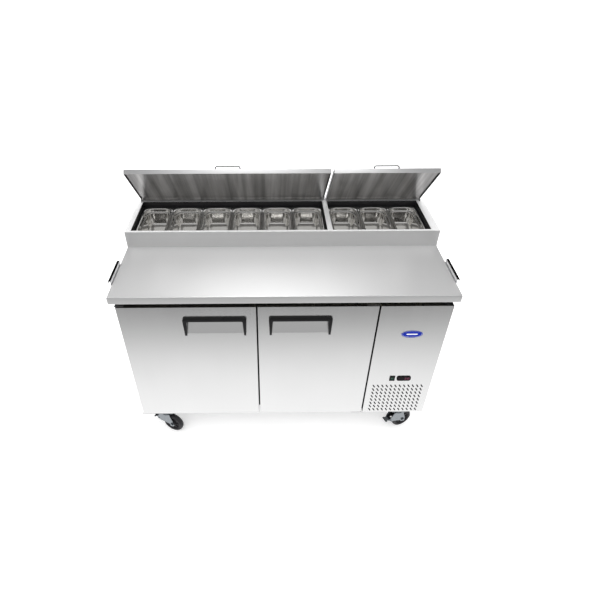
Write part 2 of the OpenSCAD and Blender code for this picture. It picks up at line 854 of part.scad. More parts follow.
module refrigerant_tubing() {
    side = bay_x1 - 26;
    color("#b87333") {
        pipe([[comp_x + comp_r + stub_len, comp_y, discharge_z], [side, comp_y, discharge_z],
              [side, coil_y0 + 14, discharge_z], [side, coil_y0 + 14, coil_z1 - 30],
              [coil_x1 + 6, coil_y0 + 14, coil_z1 - 30]], tube_r);
        pipe([[comp_x - comp_r - stub_len, comp_y, suction_z], [bay_x0 + 24, comp_y, suction_z],
              [bay_x0 + 24, comp_y, tube_z], [bay_x0 + 24, tube_y, tube_z],
              [evap_x1 - 4, tube_y, tube_z]], tube_r);
        pipe([[coil_x0 - 6, coil_y0 + 40, coil_z0 + 30], [bay_x0 + 14, coil_y0 + 40, coil_z0 + 30],
              [bay_x0 + 14, coil_y0 + 40, tube_z - tube_dz], [bay_x0 + 14, tube_y, tube_z - tube_dz],
              [evap_x1 - 4, tube_y, tube_z - tube_dz]], tube_r);
    }
}

// ---------------------------------------------------------------- evaporator

module evaporator_cover() {
    color("gainsboro") {
        difference() {
            block([evap_x0, evap_y0, evap_z0], [evap_x1, cav_y1 - liner_t, evap_z1]);
            block([evap_x0 + sheet, evap_y0 + sheet, evap_z0 + sheet],
                  [evap_x1 - sheet, cav_y1, evap_z1 - sheet]);
            rod_y([evap_fan_x, evap_y0 - EPS, evap_fan_z], evap_fan_r + 5, 3);
            for (i = [0 : 4], s = [0, 1])
                block([(s == 0 ? evap_x0 + 14 : evap_x1 - 64), evap_y0 - EPS, evap_z0 + 40 + i * 36],
                      [(s == 0 ? evap_x0 + 64 : evap_x1 - 14), evap_y0 + 2, evap_z0 + 52 + i * 36]);
            for (i = [0, 1])
                rod_x([evap_x1 - 3, tube_y, tube_z - i * tube_dz], tube_hole, 4);
        }
        rod_y([evap_fan_x, evap_y0 + 26, evap_fan_z], 22, 30);
        rod_y([evap_fan_x, evap_y0 + 6, evap_fan_z], 3, 21);
        block([evap_fan_x - 6, evap_y0 + 44, evap_z0 + sheet], [evap_fan_x + 6, evap_y0 + 48, evap_z1 - sheet]);
    }
}

module evaporator_fan() {
    color("#303030") fan(evap_fan_x, evap_y0 + 13, evap_fan_z, evap_fan_r, 3 + FIT, 5);
}

module evaporator_coil() {
    fins = 40;
    y0 = evap_y0 + 62;
    y1 = cav_y1 - liner_t - 8;
    x0 = evap_x0 + 12;
    x1 = evap_x1 - 16;
    pitch = (x1 - x0) / fins;
    color("silver") {
        for (i = [0 : fins])
            block([x0 + i * pitch - 0.3, y0, evap_z0 + 14], [x0 + i * pitch + 0.3, y1, evap_z1 - 8]);
        for (j = [0 : 4], k = [0, 1])
            rod_x([x0 - 4, y0 + 14 + k * 26, evap_z0 + 34 + j * 36], 4, x1 - x0 + 8);
        for (x = [x0 + 20, x1 - 26])
            block([x, y1, evap_z0 + 14], [x + 6, cav_y1 - liner_t, evap_z1 - 20]);
    }
}

// ---------------------------------------------------------------- shelves

module wire_shelf(x0, x1) {
    n = floor((x1 - x0 - 20) / wire_step);
    step = (x1 - x0) / (n + 1);
    color("lightgray") {
        for (y = [shelf_y0, shelf_y1])
            rod_x([x0 - shelf_r, y, shelf_z], shelf_r, x1 - x0 + 2 * shelf_r);
        for (x = [x0, x1])
            rod_y([x, shelf_y0 - shelf_r, shelf_z], shelf_r, shelf_y1 - shelf_y0 + 2 * shelf_r);
        rod_x([x0, (shelf_y0 + shelf_y1) / 2, shelf_z], shelf_r, x1 - x0);
        for (i = [1 : n])
            rod_y([x0 + i * step, shelf_y0, shelf_z + 4], wire_r, shelf_y1 - shelf_y0);
    }
}

// Slotted uprights on the liner's sides and centre posts, with the clips that carry the shelves
module shelf_pilasters() {
    z0 = cav_z0 + liner_t;
    z1 = cav_z1 - liner_t;
    left = cav_x0 + liner_t;
    right = cav_x1 - liner_t;
    mid = door_split - post_t / 2;
    color("gray") for (y = [shelf_y0 + 50, shelf_y1 - 50]) {
        pilaster(left, y, z0, z1);
        pilaster(right - post_t, y, z0, z1);
        pilaster(mid, y, z0, z1);
        shelf_clip(left + post_t + SEAM, left_shelf_x0 + 6, y);
        shelf_clip(left_shelf_x1 - 6, mid - SEAM, y);
        shelf_clip(mid + post_t + SEAM, right_shelf_x0 + 6, y);
        shelf_clip(right_shelf_x1 - 6, right - post_t - SEAM, y);
    }
}

module shelf_clip(x0, x1, y) {
    z = shelf_z - shelf_r - GAP;
    block([x0, y - clip_w / 2, z - clip_t], [x1, y + clip_w / 2, z]);
}

module pilaster(x, y, z0, z1) {
    difference() {
        block([x, y - 10, z0], [x + post_t, y + 10, z1]);
        for (z = [z0 + 40 : 50 : z1 - 30])
            block([x - EPS, y - 5, z], [x + post_t + EPS, y + 5, z + 8]);
    }
}

module cord_inlet() {
    inside = 14;
    flange = 3.5;
    color("#141414") difference() {
        union() {
            rod_y([inlet_x, cab_y1 - inside, inlet_z], inlet_r, inside);
            rod_y([inlet_x, cab_y1 - sheet - 5, inlet_z], inlet_r + 4, 5);
            rod_y([inlet_x, cab_y1, inlet_z], inlet_r + 3, flange);
        }
        rod_y([inlet_x, cab_y1 - inside - EPS, inlet_z], inlet_bore, inside + flange + 2 * EPS);
    }
}

// ---------------------------------------------------------------- casters

module caster_at(x, y, turn) {
    translate([x, y, 0]) rotate(turn) children();
}

module caster_plates() {
    color("#606468") for (x = [-caster_x, caster_x], y = [front_caster_y, rear_caster_y])
        translate([x, y, 0]) {
            translate([0, 0, plate_z])
                round_slab(caster_plate_w, caster_plate_d, caster_plate_t, 8);
            translate([0, 0, plate_z - race_t + GAP]) cylinder(r = race_r, h = race_t);
            translate([0, 0, fork_top - 8]) cylinder(r = king_r, h = race_t + 10);
            translate([0, 0, fork_top - 9]) cylinder(r = king_r + 5, h = 4);
        }
}

// One leg of a fork: wide at the crown, narrow round the axle
module fork_leg(y) {
    z_top = fork_top;
    translate([0, y + fork_t / 2, 0]) rotate([90, 0, 0]) linear_extrude(fork_t) {
        polygon([[-34, z_top], [30, z_top], [30, z_top - 12],
                 [trail + 15, wheel_r + 6], [trail + 15, wheel_r - 3], [trail - 15, wheel_r - 3],
                 [brake_x + 6, wheel_r + brake_z - 10], [brake_x - 8, wheel_r + brake_z + 6],
                 [brake_x - 4, wheel_r + brake_z + 14]]);
        translate([trail, wheel_r - 3]) circle(15);
    }
}

// Fork in the caster's own frame, with the wheel's axle along Y at x = trail
module caster_fork(braked) {
    span = 2 * fork_in + 2 * fork_t;
    color("#9aa0a6") difference() {
        union() {
            fork_leg(fork_in + fork_t / 2);
            fork_leg(-fork_in - fork_t / 2);
            difference() {
                translate([0, 0, fork_top - 4]) union() {
                    cylinder(r = race_r + 3, h = 4);
                    block([-34, -span / 2, 0], [30, span / 2, 4]);
                }
                translate([0, 0, fork_top - 20]) cylinder(r = king_r + FIT, h = 30);
            }
            rod_y([trail, -span / 2 - 6, wheel_r], axle_r, span + 12);
            for (s = [-1, 1])
                rod_y([trail, s * (span / 2 + 2.5) - 2.5, wheel_r], 10, 5);
        }
        if (braked) rod_y([brake_x, -span, wheel_r + brake_z], brake_r + FIT, 2 * span);
    }
}

module caster_wheel() {
    rim = wheel_r - 14;
    color("#141414") translate([trail, 0, wheel_r]) rotate([90, 0, 0]) rotate_extrude($fn = 72)
        difference() {
            translate([axle_r + FIT, -wheel_w / 2]) square([wheel_r - axle_r - FIT, wheel_w]);
            for (s = [0, 1]) mirror([0, s])
                polygon([[20, wheel_w / 2 + 1], [rim, wheel_w / 2 + 1], [rim - 3, wheel_w / 2 - 8],
                         [23, wheel_w / 2 - 8]]);
            for (s = [0, 1]) mirror([0, s])
                polygon([[wheel_r - 6, wheel_w / 2 + 1], [wheel_r + 1, wheel_w / 2 + 1],
                         [wheel_r + 1, wheel_w / 2 - 6]]);
        }
}

// Brake pedal: a treadle on a cross pin, with a shoe below it that swings onto the tread
module brake_pedal() {
    span = 2 * fork_in + 2 * fork_t;
    w = fork_in - 1;
    color("#b0b5ba") translate([brake_x, 0, wheel_r + brake_z]) {
        rod_y([0, -span / 2 - 3, 0], brake_r, span + 6);
        translate([0, w, 0]) rotate([90, 0, 0]) linear_extrude(2 * w)
            polygon([[-12, 6], [6, 6], [9, 0], [19, -11], [19, -21], [12, -23], [-4, -10], [-12, -6]]);
        translate([-10, 0, 4]) rotate([0, -14, 0]) block([-14, -w + 3, -3], [2, w - 3, 0]);
        translate([-10, 0, 4]) rotate([0, -14, 0]) block([-26, -w - 2, -3], [-14, w + 2, 0]);
    }
}

// ---------------------------------------------------------------- fasteners

module fasteners() {
    rear = 1.6;
    color("silver") {
        for (s = [0, 1], y = [bracket_y0 + 28, bracket_y0 + bracket_len - 28]) mirror([s, 0, 0])
            rod_x([half_w + 2, y, work_h - 14], bracket_screw_r, 3);
        for (x = [-caster_x, caster_x], y = [front_caster_y, rear_caster_y], i = [-1, 1], j = [-1, 1])
            translate([x + i * caster_bolt_x, y + j * caster_bolt_y, plate_z - 5])
                cylinder(r = caster_bolt_r, h = 5, $fn = 6);
        for (x = [bay_x0 + 30, bay_x1 - 20], z = [220, 560, 880])
            rod_y([x, cab_y1, z], rear_screw_r, rear);
    }
}

// ---------------------------------------------------------------- assembly

cabinet_shell();
foam_insulation();
cabinet_liner();
face_frame();
worktop();
board_brackets();
rail_housing();
rail_liner();
well_collars();
pan_number(1);  // pan_1
pan_number(2);  // pan_2
pan_number(3);  // pan_3
pan_number(4);  // pan_4
pan_number(5);  // pan_5
pan_number(6);  // pan_6
pan_number(7);  // pan_7
pan_number(8);  // pan_8
pan_number(9);  // pan_9
lid_shell(left_lid_x0, left_lid_x1);  // left_lid_shell
lid_liner(left_lid_x0, left_lid_x1);  // left_lid_liner
lid_handle((left_lid_x0 + left_lid_x1) / 2);  // left_lid_handle
lid_shell(right_lid_x0, right_lid_x1);  // right_lid_shell
lid_liner(right_lid_x0, right_lid_x1);  // right_lid_liner
lid_handle((right_lid_x0 + right_lid_x1) / 2);  // right_lid_handle
hinge_brackets();
door_skin(left_door_x0, left_door_x1, left_grip_x, left_door_x0 + pivot_in);  // left_door_skin
door_liner(left_door_x0, left_door_x1, left_grip_x, left_door_x0 + pivot_in);  // left_door_liner
door_gasket(left_door_x0, left_door_x1);  // left_door_gasket
door_grip(left_grip_x);  // left_door_grip
door_skin(right_door_x0, right_door_x1, right_grip_x, right_door_x1 - pivot_in);  // right_door_skin
door_liner(right_door_x0, right_door_x1, right_grip_x, right_door_x1 - pivot_in);  // right_door_liner
door_gasket(right_door_x0, right_door_x1);  // right_door_gasket
door_grip(right_grip_x);  // right_door_grip
front_panel();
badge();
control_modules();
power_rocker();
compressor();
condenser_coil();
condenser_fan();
refrigerant_tubing();
evaporator_coil();
evaporator_fan();
evaporator_cover();
wire_shelf(left_shelf_x0, left_shelf_x1);  // left_shelf
wire_shelf(right_shelf_x0, right_shelf_x1);  // right_shelf
shelf_pilasters();
cord_inlet();
caster_plates();
caster_at(-caster_x, front_caster_y, front_left_turn) caster_fork(true);  // front_left_fork
caster_at(caster_x, front_caster_y, front_right_turn) caster_fork(true);  // front_right_fork
caster_at(-caster_x, rear_caster_y, rear_left_turn) caster_fork(false);  // rear_left_fork
caster_at(caster_x, rear_caster_y, rear_right_turn) caster_fork(false);  // rear_right_fork
caster_at(-caster_x, front_caster_y, front_left_turn) caster_wheel();  // front_left_wheel
caster_at(caster_x, front_caster_y, front_right_turn) caster_wheel();  // front_right_wheel
caster_at(-caster_x, rear_caster_y, rear_left_turn) caster_wheel();  // rear_left_wheel
caster_at(caster_x, rear_caster_y, rear_right_turn) caster_wheel();  // rear_right_wheel
caster_at(-caster_x, front_caster_y, front_left_turn) brake_pedal();  // front_left_brake
caster_at(caster_x, front_caster_y, front_right_turn) brake_pedal();  // front_right_brake
fasteners();
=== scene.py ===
import json
import math

import bmesh
import bpy
from mathutils import Matrix, Vector


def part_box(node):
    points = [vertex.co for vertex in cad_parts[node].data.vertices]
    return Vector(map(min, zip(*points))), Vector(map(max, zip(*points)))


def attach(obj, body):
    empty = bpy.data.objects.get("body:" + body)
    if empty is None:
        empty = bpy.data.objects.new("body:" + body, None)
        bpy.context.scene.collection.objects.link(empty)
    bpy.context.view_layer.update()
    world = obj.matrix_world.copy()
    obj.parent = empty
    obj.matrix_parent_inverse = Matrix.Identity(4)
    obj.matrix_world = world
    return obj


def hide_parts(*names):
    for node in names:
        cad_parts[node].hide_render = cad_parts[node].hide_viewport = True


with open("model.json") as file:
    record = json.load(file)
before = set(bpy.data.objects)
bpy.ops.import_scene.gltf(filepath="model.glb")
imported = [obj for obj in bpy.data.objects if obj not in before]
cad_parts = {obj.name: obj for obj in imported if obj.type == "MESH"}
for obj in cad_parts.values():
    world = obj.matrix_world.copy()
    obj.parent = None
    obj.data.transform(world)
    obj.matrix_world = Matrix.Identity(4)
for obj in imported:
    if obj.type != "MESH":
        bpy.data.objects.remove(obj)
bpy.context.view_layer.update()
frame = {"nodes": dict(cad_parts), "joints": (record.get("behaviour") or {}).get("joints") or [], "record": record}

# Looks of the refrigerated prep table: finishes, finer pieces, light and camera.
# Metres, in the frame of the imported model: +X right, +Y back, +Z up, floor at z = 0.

RECORD = frame["record"]
JOINTS = {j["name"]: j for j in frame["joints"]}
ROOT = "table"
MM = 0.001
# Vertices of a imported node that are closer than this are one
WELD = 0.01 * MM


# ------------------------------------------------------------------ node graphs

class Graph:
    """A node tree with short calls for the nodes that the finishes and the studio share."""

    def __init__(self, tree):
        self.tree = tree

    def node(self, kind, **settings):
        made = self.tree.nodes.new(kind)
        for key, value in settings.items():
            setattr(made, key, value)
        return made

    def link(self, source, target):
        self.tree.links.new(source, target)

    def split(self, vector):
        """The x, y and z of a vector."""
        made = self.node("ShaderNodeSeparateXYZ")
        self.link(vector, made.inputs["Vector"])
        return tuple(made.outputs)

    def remap(self, source, low, high, start=0.3, end=0.7):
        """source between start and end becomes low to high."""
        made = self.node("ShaderNodeMapRange")
        made.inputs["From Min"].default_value = start
        made.inputs["From Max"].default_value = end
        made.inputs["To Min"].default_value = low
        made.inputs["To Max"].default_value = high
        self.link(source, made.inputs["Value"])
        return made.outputs["Result"]

    def add(self, a, b):
        made = self.node("ShaderNodeMath", operation="ADD")
        for value, socket in zip((a, b), made.inputs):
            self.link(value, socket)
        return made.outputs["Value"]

    def blend(self, factor, low, high, mode="MIX"):
        """A colour between low and high, or low darkened by high in the mode MULTIPLY."""
        made = self.node("ShaderNodeMix", data_type="RGBA", blend_type=mode)
        self.link(factor, made.inputs["Factor"])
        for socket, value in ((made.inputs["A"], low), (made.inputs["B"], high)):
            if isinstance(value, tuple):
                socket.default_value = (*value, 1)
            else:
                self.link(value, socket)
        return made.outputs["Result"]

    def ramp(self, source, stops):
        """A grey ramp over a value between -1 and 1, as (value, brightness) stops."""
        made = self.node("ShaderNodeValToRGB")
        elements = made.color_ramp.elements
        while len(elements) < len(stops):
            elements.new(0.5)
        for element, (value, bright) in zip(elements, stops):
            element.position = (value + 1) / 2
            element.color = (bright, bright, bright, 1)
        self.link(self.remap(source, 0, 1, -1.0, 1.0), made.inputs["Fac"])
        return made.outputs["Color"]


class Finish(Graph):
    """A material with short calls for what its finish is made of."""

    def __init__(self, name):
        self.material = bpy.data.materials.new(name)
        self.material.use_nodes = True
        super().__init__(self.material.node_tree)
        self.shader = self.tree.nodes["Principled BSDF"]
        self.coords = self.node("ShaderNodeTexCoord").outputs["Object"]

    def stretch(self, scale):
        """Object coordinates scaled along each axis."""
        mapping = self.node("ShaderNodeMapping")
        mapping.inputs["Scale"].default_value = scale
        self.link(self.coords, mapping.inputs["Vector"])
        return mapping.outputs["Vector"]

    def noise(self, scale, detail, roughness, vector=None):
        """A noise of a given scale, or of scale 1 on stretched coordinates."""
        made = self.node("ShaderNodeTexNoise")
        made.inputs["Scale"].default_value = scale
        made.inputs["Detail"].default_value = detail
        made.inputs["Roughness"].default_value = roughness
        self.link(self.coords if vector is None else vector, made.inputs["Vector"])
        return made.outputs["Fac"]

    def bump(self, height, strength, distance):
        made = self.node("ShaderNodeBump")
        made.inputs["Strength"].default_value = strength
        made.inputs["Distance"].default_value = distance
        self.link(height, made.inputs["Height"])
        self.link(made.outputs["Normal"], self.shader.inputs["Normal"])

    def grain(self, direction):
        """The direction, in the piece's own axes, that the brushing runs along."""
        run = self.node("ShaderNodeCombineXYZ")
        for socket, value in zip(run.inputs, direction):
            socket.default_value = value
        turn = self.node("ShaderNodeVectorTransform", vector_type="VECTOR", convert_from="OBJECT",
                         convert_to="WORLD")
        self.link(run.outputs["Vector"], turn.inputs["Vector"])
        self.link(turn.outputs["Vector"], self.shader.inputs["Tangent"])

    def set(self, **constants):
        for key, value in constants.items():
            self.shader.inputs[key.replace("_", " ")].default_value = value

    def colour(self, source):
        self.link(source, self.shader.inputs["Base Color"])

    def roughness(self, source):
        self.link(source, self.shader.inputs["Roughness"])


def shade(colour, factor):
    return tuple(min(1.0, c * factor) for c in colour)


def brushed(name, tint, rough, grain="X", lines=0.5, spread=0.0, reflection_streaks=0.0, metal=1.0):
    """Brushed sheet metal: fine grain lines along one axis and faint smears; dark bands across the grain, where
    asked for, are a painted reflection.
    """
    g = Finish(name)
    g.set(Metallic=metal)
    along, across = 1.2, 900.0
    axis = "XYZ".index(grain)

    def stretched(on_axis, off_axis):
        return g.stretch([on_axis if i == axis else off_axis for i in range(3)])

    hair = g.noise(1.0, 4.0, 0.7, stretched(along, across))
    band = g.noise(1.0, 2.0, 0.5, stretched(along / 3, across / 14))
    smear = g.noise(2.2, 3.0, 0.5)
    tone = g.blend(g.remap(hair, 0, 1), shade(tint, 1 - 0.05 * lines), shade(tint, 1 + 0.03 * lines))
    # Dark bands across the grain darken the colour: a painted reflection, on the lids' inner panels of the pans
    # and the gaps between them.
    if reflection_streaks:
        reflection_bands = g.noise(1.0, 3.0, 0.6, stretched(26.0, 0.8))
        tone = g.blend(g.remap(reflection_bands, 0, reflection_streaks), tone, shade(tint, 0.25))
    g.colour(tone)
    banded = g.remap(band, rough - 0.03 * lines, rough + 0.03 * lines)
    g.roughness(g.add(banded, g.remap(smear, -0.02, 0.02)))
    g.bump(hair, 0.1 * lines, 0.1 * MM)
    if spread:
        g.set(Anisotropic=spread, Anisotropic_Rotation=0.25)
        g.grain(tuple(1.0 if i == axis else 0.0 for i in range(3)))
    return g.material


def satin(name, tint, rough):
    """Blasted sheet, nearly matt, with a fine even tooth."""
    g = Finish(name)
    g.set(Metallic=0.1)
    tooth = g.noise(1400.0, 2.0, 0.6)
    g.colour(g.blend(g.remap(tooth, 0, 1), shade(tint, 0.96), tint))
    g.roughness(g.remap(g.noise(3.0, 3.0, 0.5), rough - 0.05, rough + 0.05))
    g.bump(tooth, 0.06, 0.1 * MM)
    return g.material


def polished(name, tint, rough, scale=24.0, depth=0.12):
    """Drawn or plated metal with soft ripples and a few dull patches."""
    g = Finish(name)
    g.set(Metallic=1.0)
    ripple = g.noise(scale, 2.0, 0.4)
    patch = g.noise(scale / 3, 5.0, 0.65)
    g.colour(g.blend(g.remap(patch, 0, 1), shade(tint, 0.92), tint))
    g.roughness(g.remap(patch, rough * 0.7, rough * 1.4))
    g.bump(ripple, depth, 0.6 * MM)
    return g.material


def galvanised(name, tint, rough):
    """Bright zinc plating with a faint spangle."""
    g = Finish(name)
    g.set(Metallic=1.0)
    cells = g.node("ShaderNodeTexVoronoi")
    cells.inputs["Scale"].default_value = 160.0
    g.link(g.coords, cells.inputs["Vector"])
    dull = g.noise(45.0, 4.0, 0.6)
    g.colour(g.blend(g.remap(cells.outputs["Distance"], 0, 1, 0.0, 0.8), shade(tint, 0.86), tint))
    g.roughness(g.remap(dull, rough * 0.75, rough * 1.3))
    g.bump(dull, 0.1, 0.3 * MM)
    return g.material


def plastic(name, tint, rough, shine=0.5):
    """Moulded plastic: a fine pebble and slightly uneven colour and gloss."""
    g = Finish(name)
    g.set(Specular_IOR_Level=shine)
    pebble = g.noise(1500.0, 2.0, 0.5)
    uneven = g.noise(18.0, 4.0, 0.6)
    g.colour(g.blend(g.remap(uneven, 0, 1), shade(tint, 0.85), shade(tint, 1.25)))
    g.roughness(g.remap(uneven, rough * 0.85, rough * 1.2))
    g.bump(pebble, 0.12, 0.1 * MM)
    return g.material


def painted(name, tint, rough):
    """Sprayed paint over metal with orange peel and rubbed patches."""
    g = Finish(name)
    g.set(Coat_Weight=0.2, Coat_Roughness=0.2)
    peel = g.noise(260.0, 2.0, 0.5)
    rubbed = g.noise(9.0, 6.0, 0.7)
    g.colour(g.blend(g.remap(rubbed, 0, 1, 0.35, 0.75), tint, shade(tint, 1.2)))
    g.roughness(g.remap(rubbed, rough * 0.85, rough * 1.15))
    g.bump(peel, 0.1, 0.1 * MM)
    return g.material


def rubber(name, tint, rough):
    """Tyre or seal rubber, dusty and matt."""
    g = Finish(name)
    dust = g.noise(60.0, 6.0, 0.7)
    pores = g.noise(900.0, 2.0, 0.5)
    g.colour(g.blend(g.remap(dust, 0, 1, 0.4, 0.8), tint, shade(tint, 1.9)))
    g.roughness(g.remap(dust, rough * 0.85, min(1.0, rough * 1.15)))
    g.bump(pores, 0.2, 0.15 * MM)
    return g.material


def foam(name, tint):
    """Cut polyurethane foam with open cells."""
    g = Finish(name)
    cells = g.noise(420.0, 3.0, 0.7)
    g.colour(g.blend(g.remap(cells, 0, 1), shade(tint, 0.8), tint))
    g.roughness(g.remap(cells, 0.8, 0.95))
    g.bump(cells, 0.5, 0.5 * MM)
    return g.material


def enamel(name, tint, rough, shine=0.5):
    """Glossy printed or enamelled face."""
    g = Finish(name)
    g.set(Specular_IOR_Level=shine)
    tone = g.noise(120.0, 2.0, 0.5)
    g.colour(g.blend(g.remap(tone, 0, 1), shade(tint, 0.9), shade(tint, 1.08)))
    g.roughness(g.remap(tone, rough * 0.9, rough * 1.1))
    return g.material


def glow(name, tint, strength):
    """A lit segment of a numeric display."""
    g = Finish(name)
    g.set(Emission_Color=(*tint, 1), Emission_Strength=strength, Roughness=0.4)
    uneven = g.noise(900.0, 2.0, 0.5)
    g.colour(g.blend(g.remap(uneven, 0, 1), shade(tint, 0.7), tint))
    return g.material


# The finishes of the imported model's material slots
FINISHES = {
    "brushed_steel": brushed("brushed_steel", (0.80, 0.80, 0.80), 0.48, spread=0.8),
    "inner_steel": brushed("inner_steel", (0.50, 0.50, 0.49), 0.3, lines=0.9),
    # The inner panel's dark bands are a painted reflection of the pans below.
    "lid_inner": brushed("lid_inner", (0.68, 0.67, 0.665), 0.36, lines=0.4, spread=0.97, reflection_streaks=0.7),
    "liner_aluminium": brushed("liner_aluminium", (0.86, 0.87, 0.88), 0.4, grain="Z", lines=0.3),
    "pan_steel": polished("pan_steel", (0.90, 0.89, 0.87), 0.13, 9.0, depth=0.015),
    "foam": foam("foam", (0.80, 0.72, 0.50)),
    "black_trim": plastic("black_trim", (0.012, 0.012, 0.013), 0.4),
    "black_plastic": plastic("black_plastic", (0.006, 0.006, 0.0065), 0.3, shine=0.22),
    "door_inner": painted("door_inner", (0.80, 0.81, 0.81), 0.45),
    "gasket": rubber("gasket", (0.10, 0.10, 0.105), 0.6),
    "chrome": polished("chrome", (0.85, 0.85, 0.86), 0.1, 60.0),
    "bracket_steel": painted("bracket_steel", (0.03, 0.03, 0.032), 0.4),
    "badge_blue": enamel("badge_blue", (0.004, 0.02, 0.30), 0.35, shine=0.12),
    "rocker_green": enamel("rocker_green", (0.003, 0.035, 0.02), 0.25, shine=0.3),
    "compressor_black": painted("compressor_black", (0.018, 0.018, 0.02), 0.35),
    "coil_fins": brushed("coil_fins", (0.72, 0.72, 0.73), 0.35, grain="Z"),
    "copper": polished("copper", (0.80, 0.42, 0.24), 0.28),
    "fan_plastic": plastic("fan_plastic", (0.03, 0.03, 0.032), 0.45),
    "shelf_wire": painted("shelf_wire", (0.82, 0.82, 0.80), 0.3),
    "zinc": galvanised("zinc", (0.30, 0.32, 0.34), 0.24),
    "wheel_rubber": rubber("wheel_rubber", (0.012, 0.011, 0.014), 0.5),
}
# Finishes that a piece wears over its slot, for the render only
SHOWN_ONLY = {
    "door_steel": brushed("door_steel", (0.82, 0.82, 0.82), 0.2, grain="Z", lines=0.35, spread=0.5),
    "lid_steel": brushed("lid_steel", (0.74, 0.74, 0.745), 0.42, spread=0.7),
    "worktop_steel": brushed("worktop_steel", (0.77, 0.77, 0.77), 0.38, lines=0.12, spread=0.4,
                             metal=0.58),
    "wire_chrome": polished("wire_chrome", (0.22, 0.22, 0.23), 0.2, 60.0),
    "ferrule": polished("ferrule", (0.06, 0.06, 0.065), 0.3, 60.0),
    "deck_steel": satin("deck_steel", (0.90, 0.90, 0.90), 0.5),
    "display": enamel("display", (0.006, 0.003, 0.005), 0.12, shine=0.1),
    "digits": glow("digits", (0.13, 0.015, 0.045), 0.3),
    "badge_white": enamel("badge_white", (0.80, 0.80, 0.80), 0.3),
    "badge_rim": polished("badge_rim", (0.86, 0.87, 0.90), 0.16, 80.0),
}


# ------------------------------------------------------------------ mesh helpers

def finish_piece(name, bm, slot, body, replaced=(), sharp=32.0, finish=None, place=None):
    """Turns a bmesh into an object with its finish and smooth shading, riding on its body.

    Edges that turn more than sharp degrees stay sharp. The finish is the slot's own, unless
    another is given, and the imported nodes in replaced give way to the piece.
    """
    bmesh.ops.recalc_face_normals(bm, faces=bm.faces)
    limit = math.radians(sharp)
    for face in bm.faces:
        face.smooth = True
    for edge in bm.edges:
        edge.smooth = len(edge.link_faces) == 2 and edge.calc_face_angle(0.0) < limit
    if place is not None:
        bm.transform(place)
    mesh = bpy.data.meshes.new(name)
    bm.to_mesh(mesh)
    bm.free()
    mesh.materials.append(finish or FINISHES[slot])
    piece = bpy.data.objects.new(name, mesh)
    bpy.context.scene.collection.objects.link(piece)
    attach(piece, body)
    if replaced:
        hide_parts(*replaced)
    return piece


def second_finish(mesh, material, test):
    """Gives the faces that pass the test another finish."""
    mesh.materials.append(material)
    for face in mesh.polygons:
        if test(face):
            face.material_index = len(mesh.materials) - 1


def is_level(face):
    return abs(face.normal.z) > 0.6


def runs_along(edge, axis):
    start, end = (v.co for v in edge.verts)
    return abs((start - end).normalized()[axis]) > 0.9


def lowest(faces):
    return min(faces, key=lambda f: f.calc_center_median().z)


def draw_out(bm, face, shift):
    """Draws a face out into a solid."""
    made = bmesh.ops.extrude_face_region(bm, geom=[face])["geom"]
    bmesh.ops.translate(bm, vec=shift, verts=[g for g in made if isinstance(g, bmesh.types.BMVert)])


def add_box(bm, low, high):
    """Adds a box between two corners and returns its vertices."""
    low, high = Vector(low), Vector(high)
    size = high - low
    fit = Matrix.Translation((low + high) / 2) @ Matrix.Diagonal((*size, 1.0))
    return bmesh.ops.create_cube(bm, size=1.0, matrix=fit)["verts"]


def quarter(steps):
    """The angles of a quarter turn, both ends included."""
    return [math.pi / 2 * i / steps for i in range(steps + 1)]


def around(steps):
    """The angles of a full turn, its end left out."""
    return [2 * math.pi * i / steps for i in range(steps)]


def add_rod(bm, start, end, radius, sides=24, bevel=0.0):
    """Adds a closed cylinder from start to end, with rounded rims if bevel is given."""
    start, end = Vector(start), Vector(end)
    run = end - start
    length = run.length
    turn = run.to_track_quat("Z", "Y").to_matrix().to_4x4()
    place = Matrix.Translation(start) @ turn
    rings = [(radius, 0.0), (radius, length)]
    if bevel > 0:
        arc = [(radius - bevel * (1 - math.sin(a)), bevel * (1 - math.cos(a))) for a in quarter(3)]
        rings = arc + [(r, length - z) for r, z in reversed(arc)]
    add_lathe(bm, rings, sides, place)


def add_lathe(bm, profile, sides, place, closed_ring=False):
    """Adds a turned form: profile points are (radius, height) about the local Z axis."""
    rings = [[bm.verts.new(place @ Vector((radius * math.cos(a), radius * math.sin(a), height)))
              for a in around(sides)] for radius, height in profile]
    skin_rings(bm, rings, closed_ring)
    if not closed_ring:
        bm.faces.new(rings[0])
        bm.faces.new(rings[-1])


def skin_rings(bm, rings, closed=False):
    """Joins equal rings of vertices with quads."""
    pairs = list(zip(rings, rings[1:]))
    if closed:
        pairs.append((rings[-1], rings[0]))
    for lower, upper in pairs:
        for i in range(len(lower)):
            j = (i + 1) % len(lower)
            bm.faces.new((lower[i], lower[j], upper[j], upper[i]))


def rounded_rect(width, depth, radius, steps=8):
    """Points round a rectangle with arc corners, centred on the origin."""
    points = []
    for sx, sy, start in ((1, 1, 0), (-1, 1, 90), (-1, -1, 180), (1, -1, 270)):
        cx, cy = sx * (width / 2 - radius), sy * (depth / 2 - radius)
        for i in range(steps + 1):
            a = math.radians(start + 90 * i / steps)
            points.append(Vector((cx + radius * math.cos(a), cy + radius * math.sin(a))))
    return points


def soften(bm, width, segments=3, test=None, angle=30.0):
    """Rounds the edges that turn more than angle and pass the test."""
    limit = math.radians(angle)
    edges = [e for e in bm.edges
             if len(e.link_faces) == 2 and e.calc_face_angle(0.0) > limit and (test is None or test(e))]
    bmesh.ops.bevel(bm, geom=edges, offset=width, offset_type="OFFSET", segments=segments, profile=0.5,
                    affect="EDGES", clamp_overlap=True)


def thicken(piece, thickness):
    """Gives a sheet its thickness, on the side away from its normals."""
    solid = piece.modifiers.new("thickness", "SOLIDIFY")
    solid.thickness = thickness
    solid.offset = -1.0
    solid.use_even_offset = True


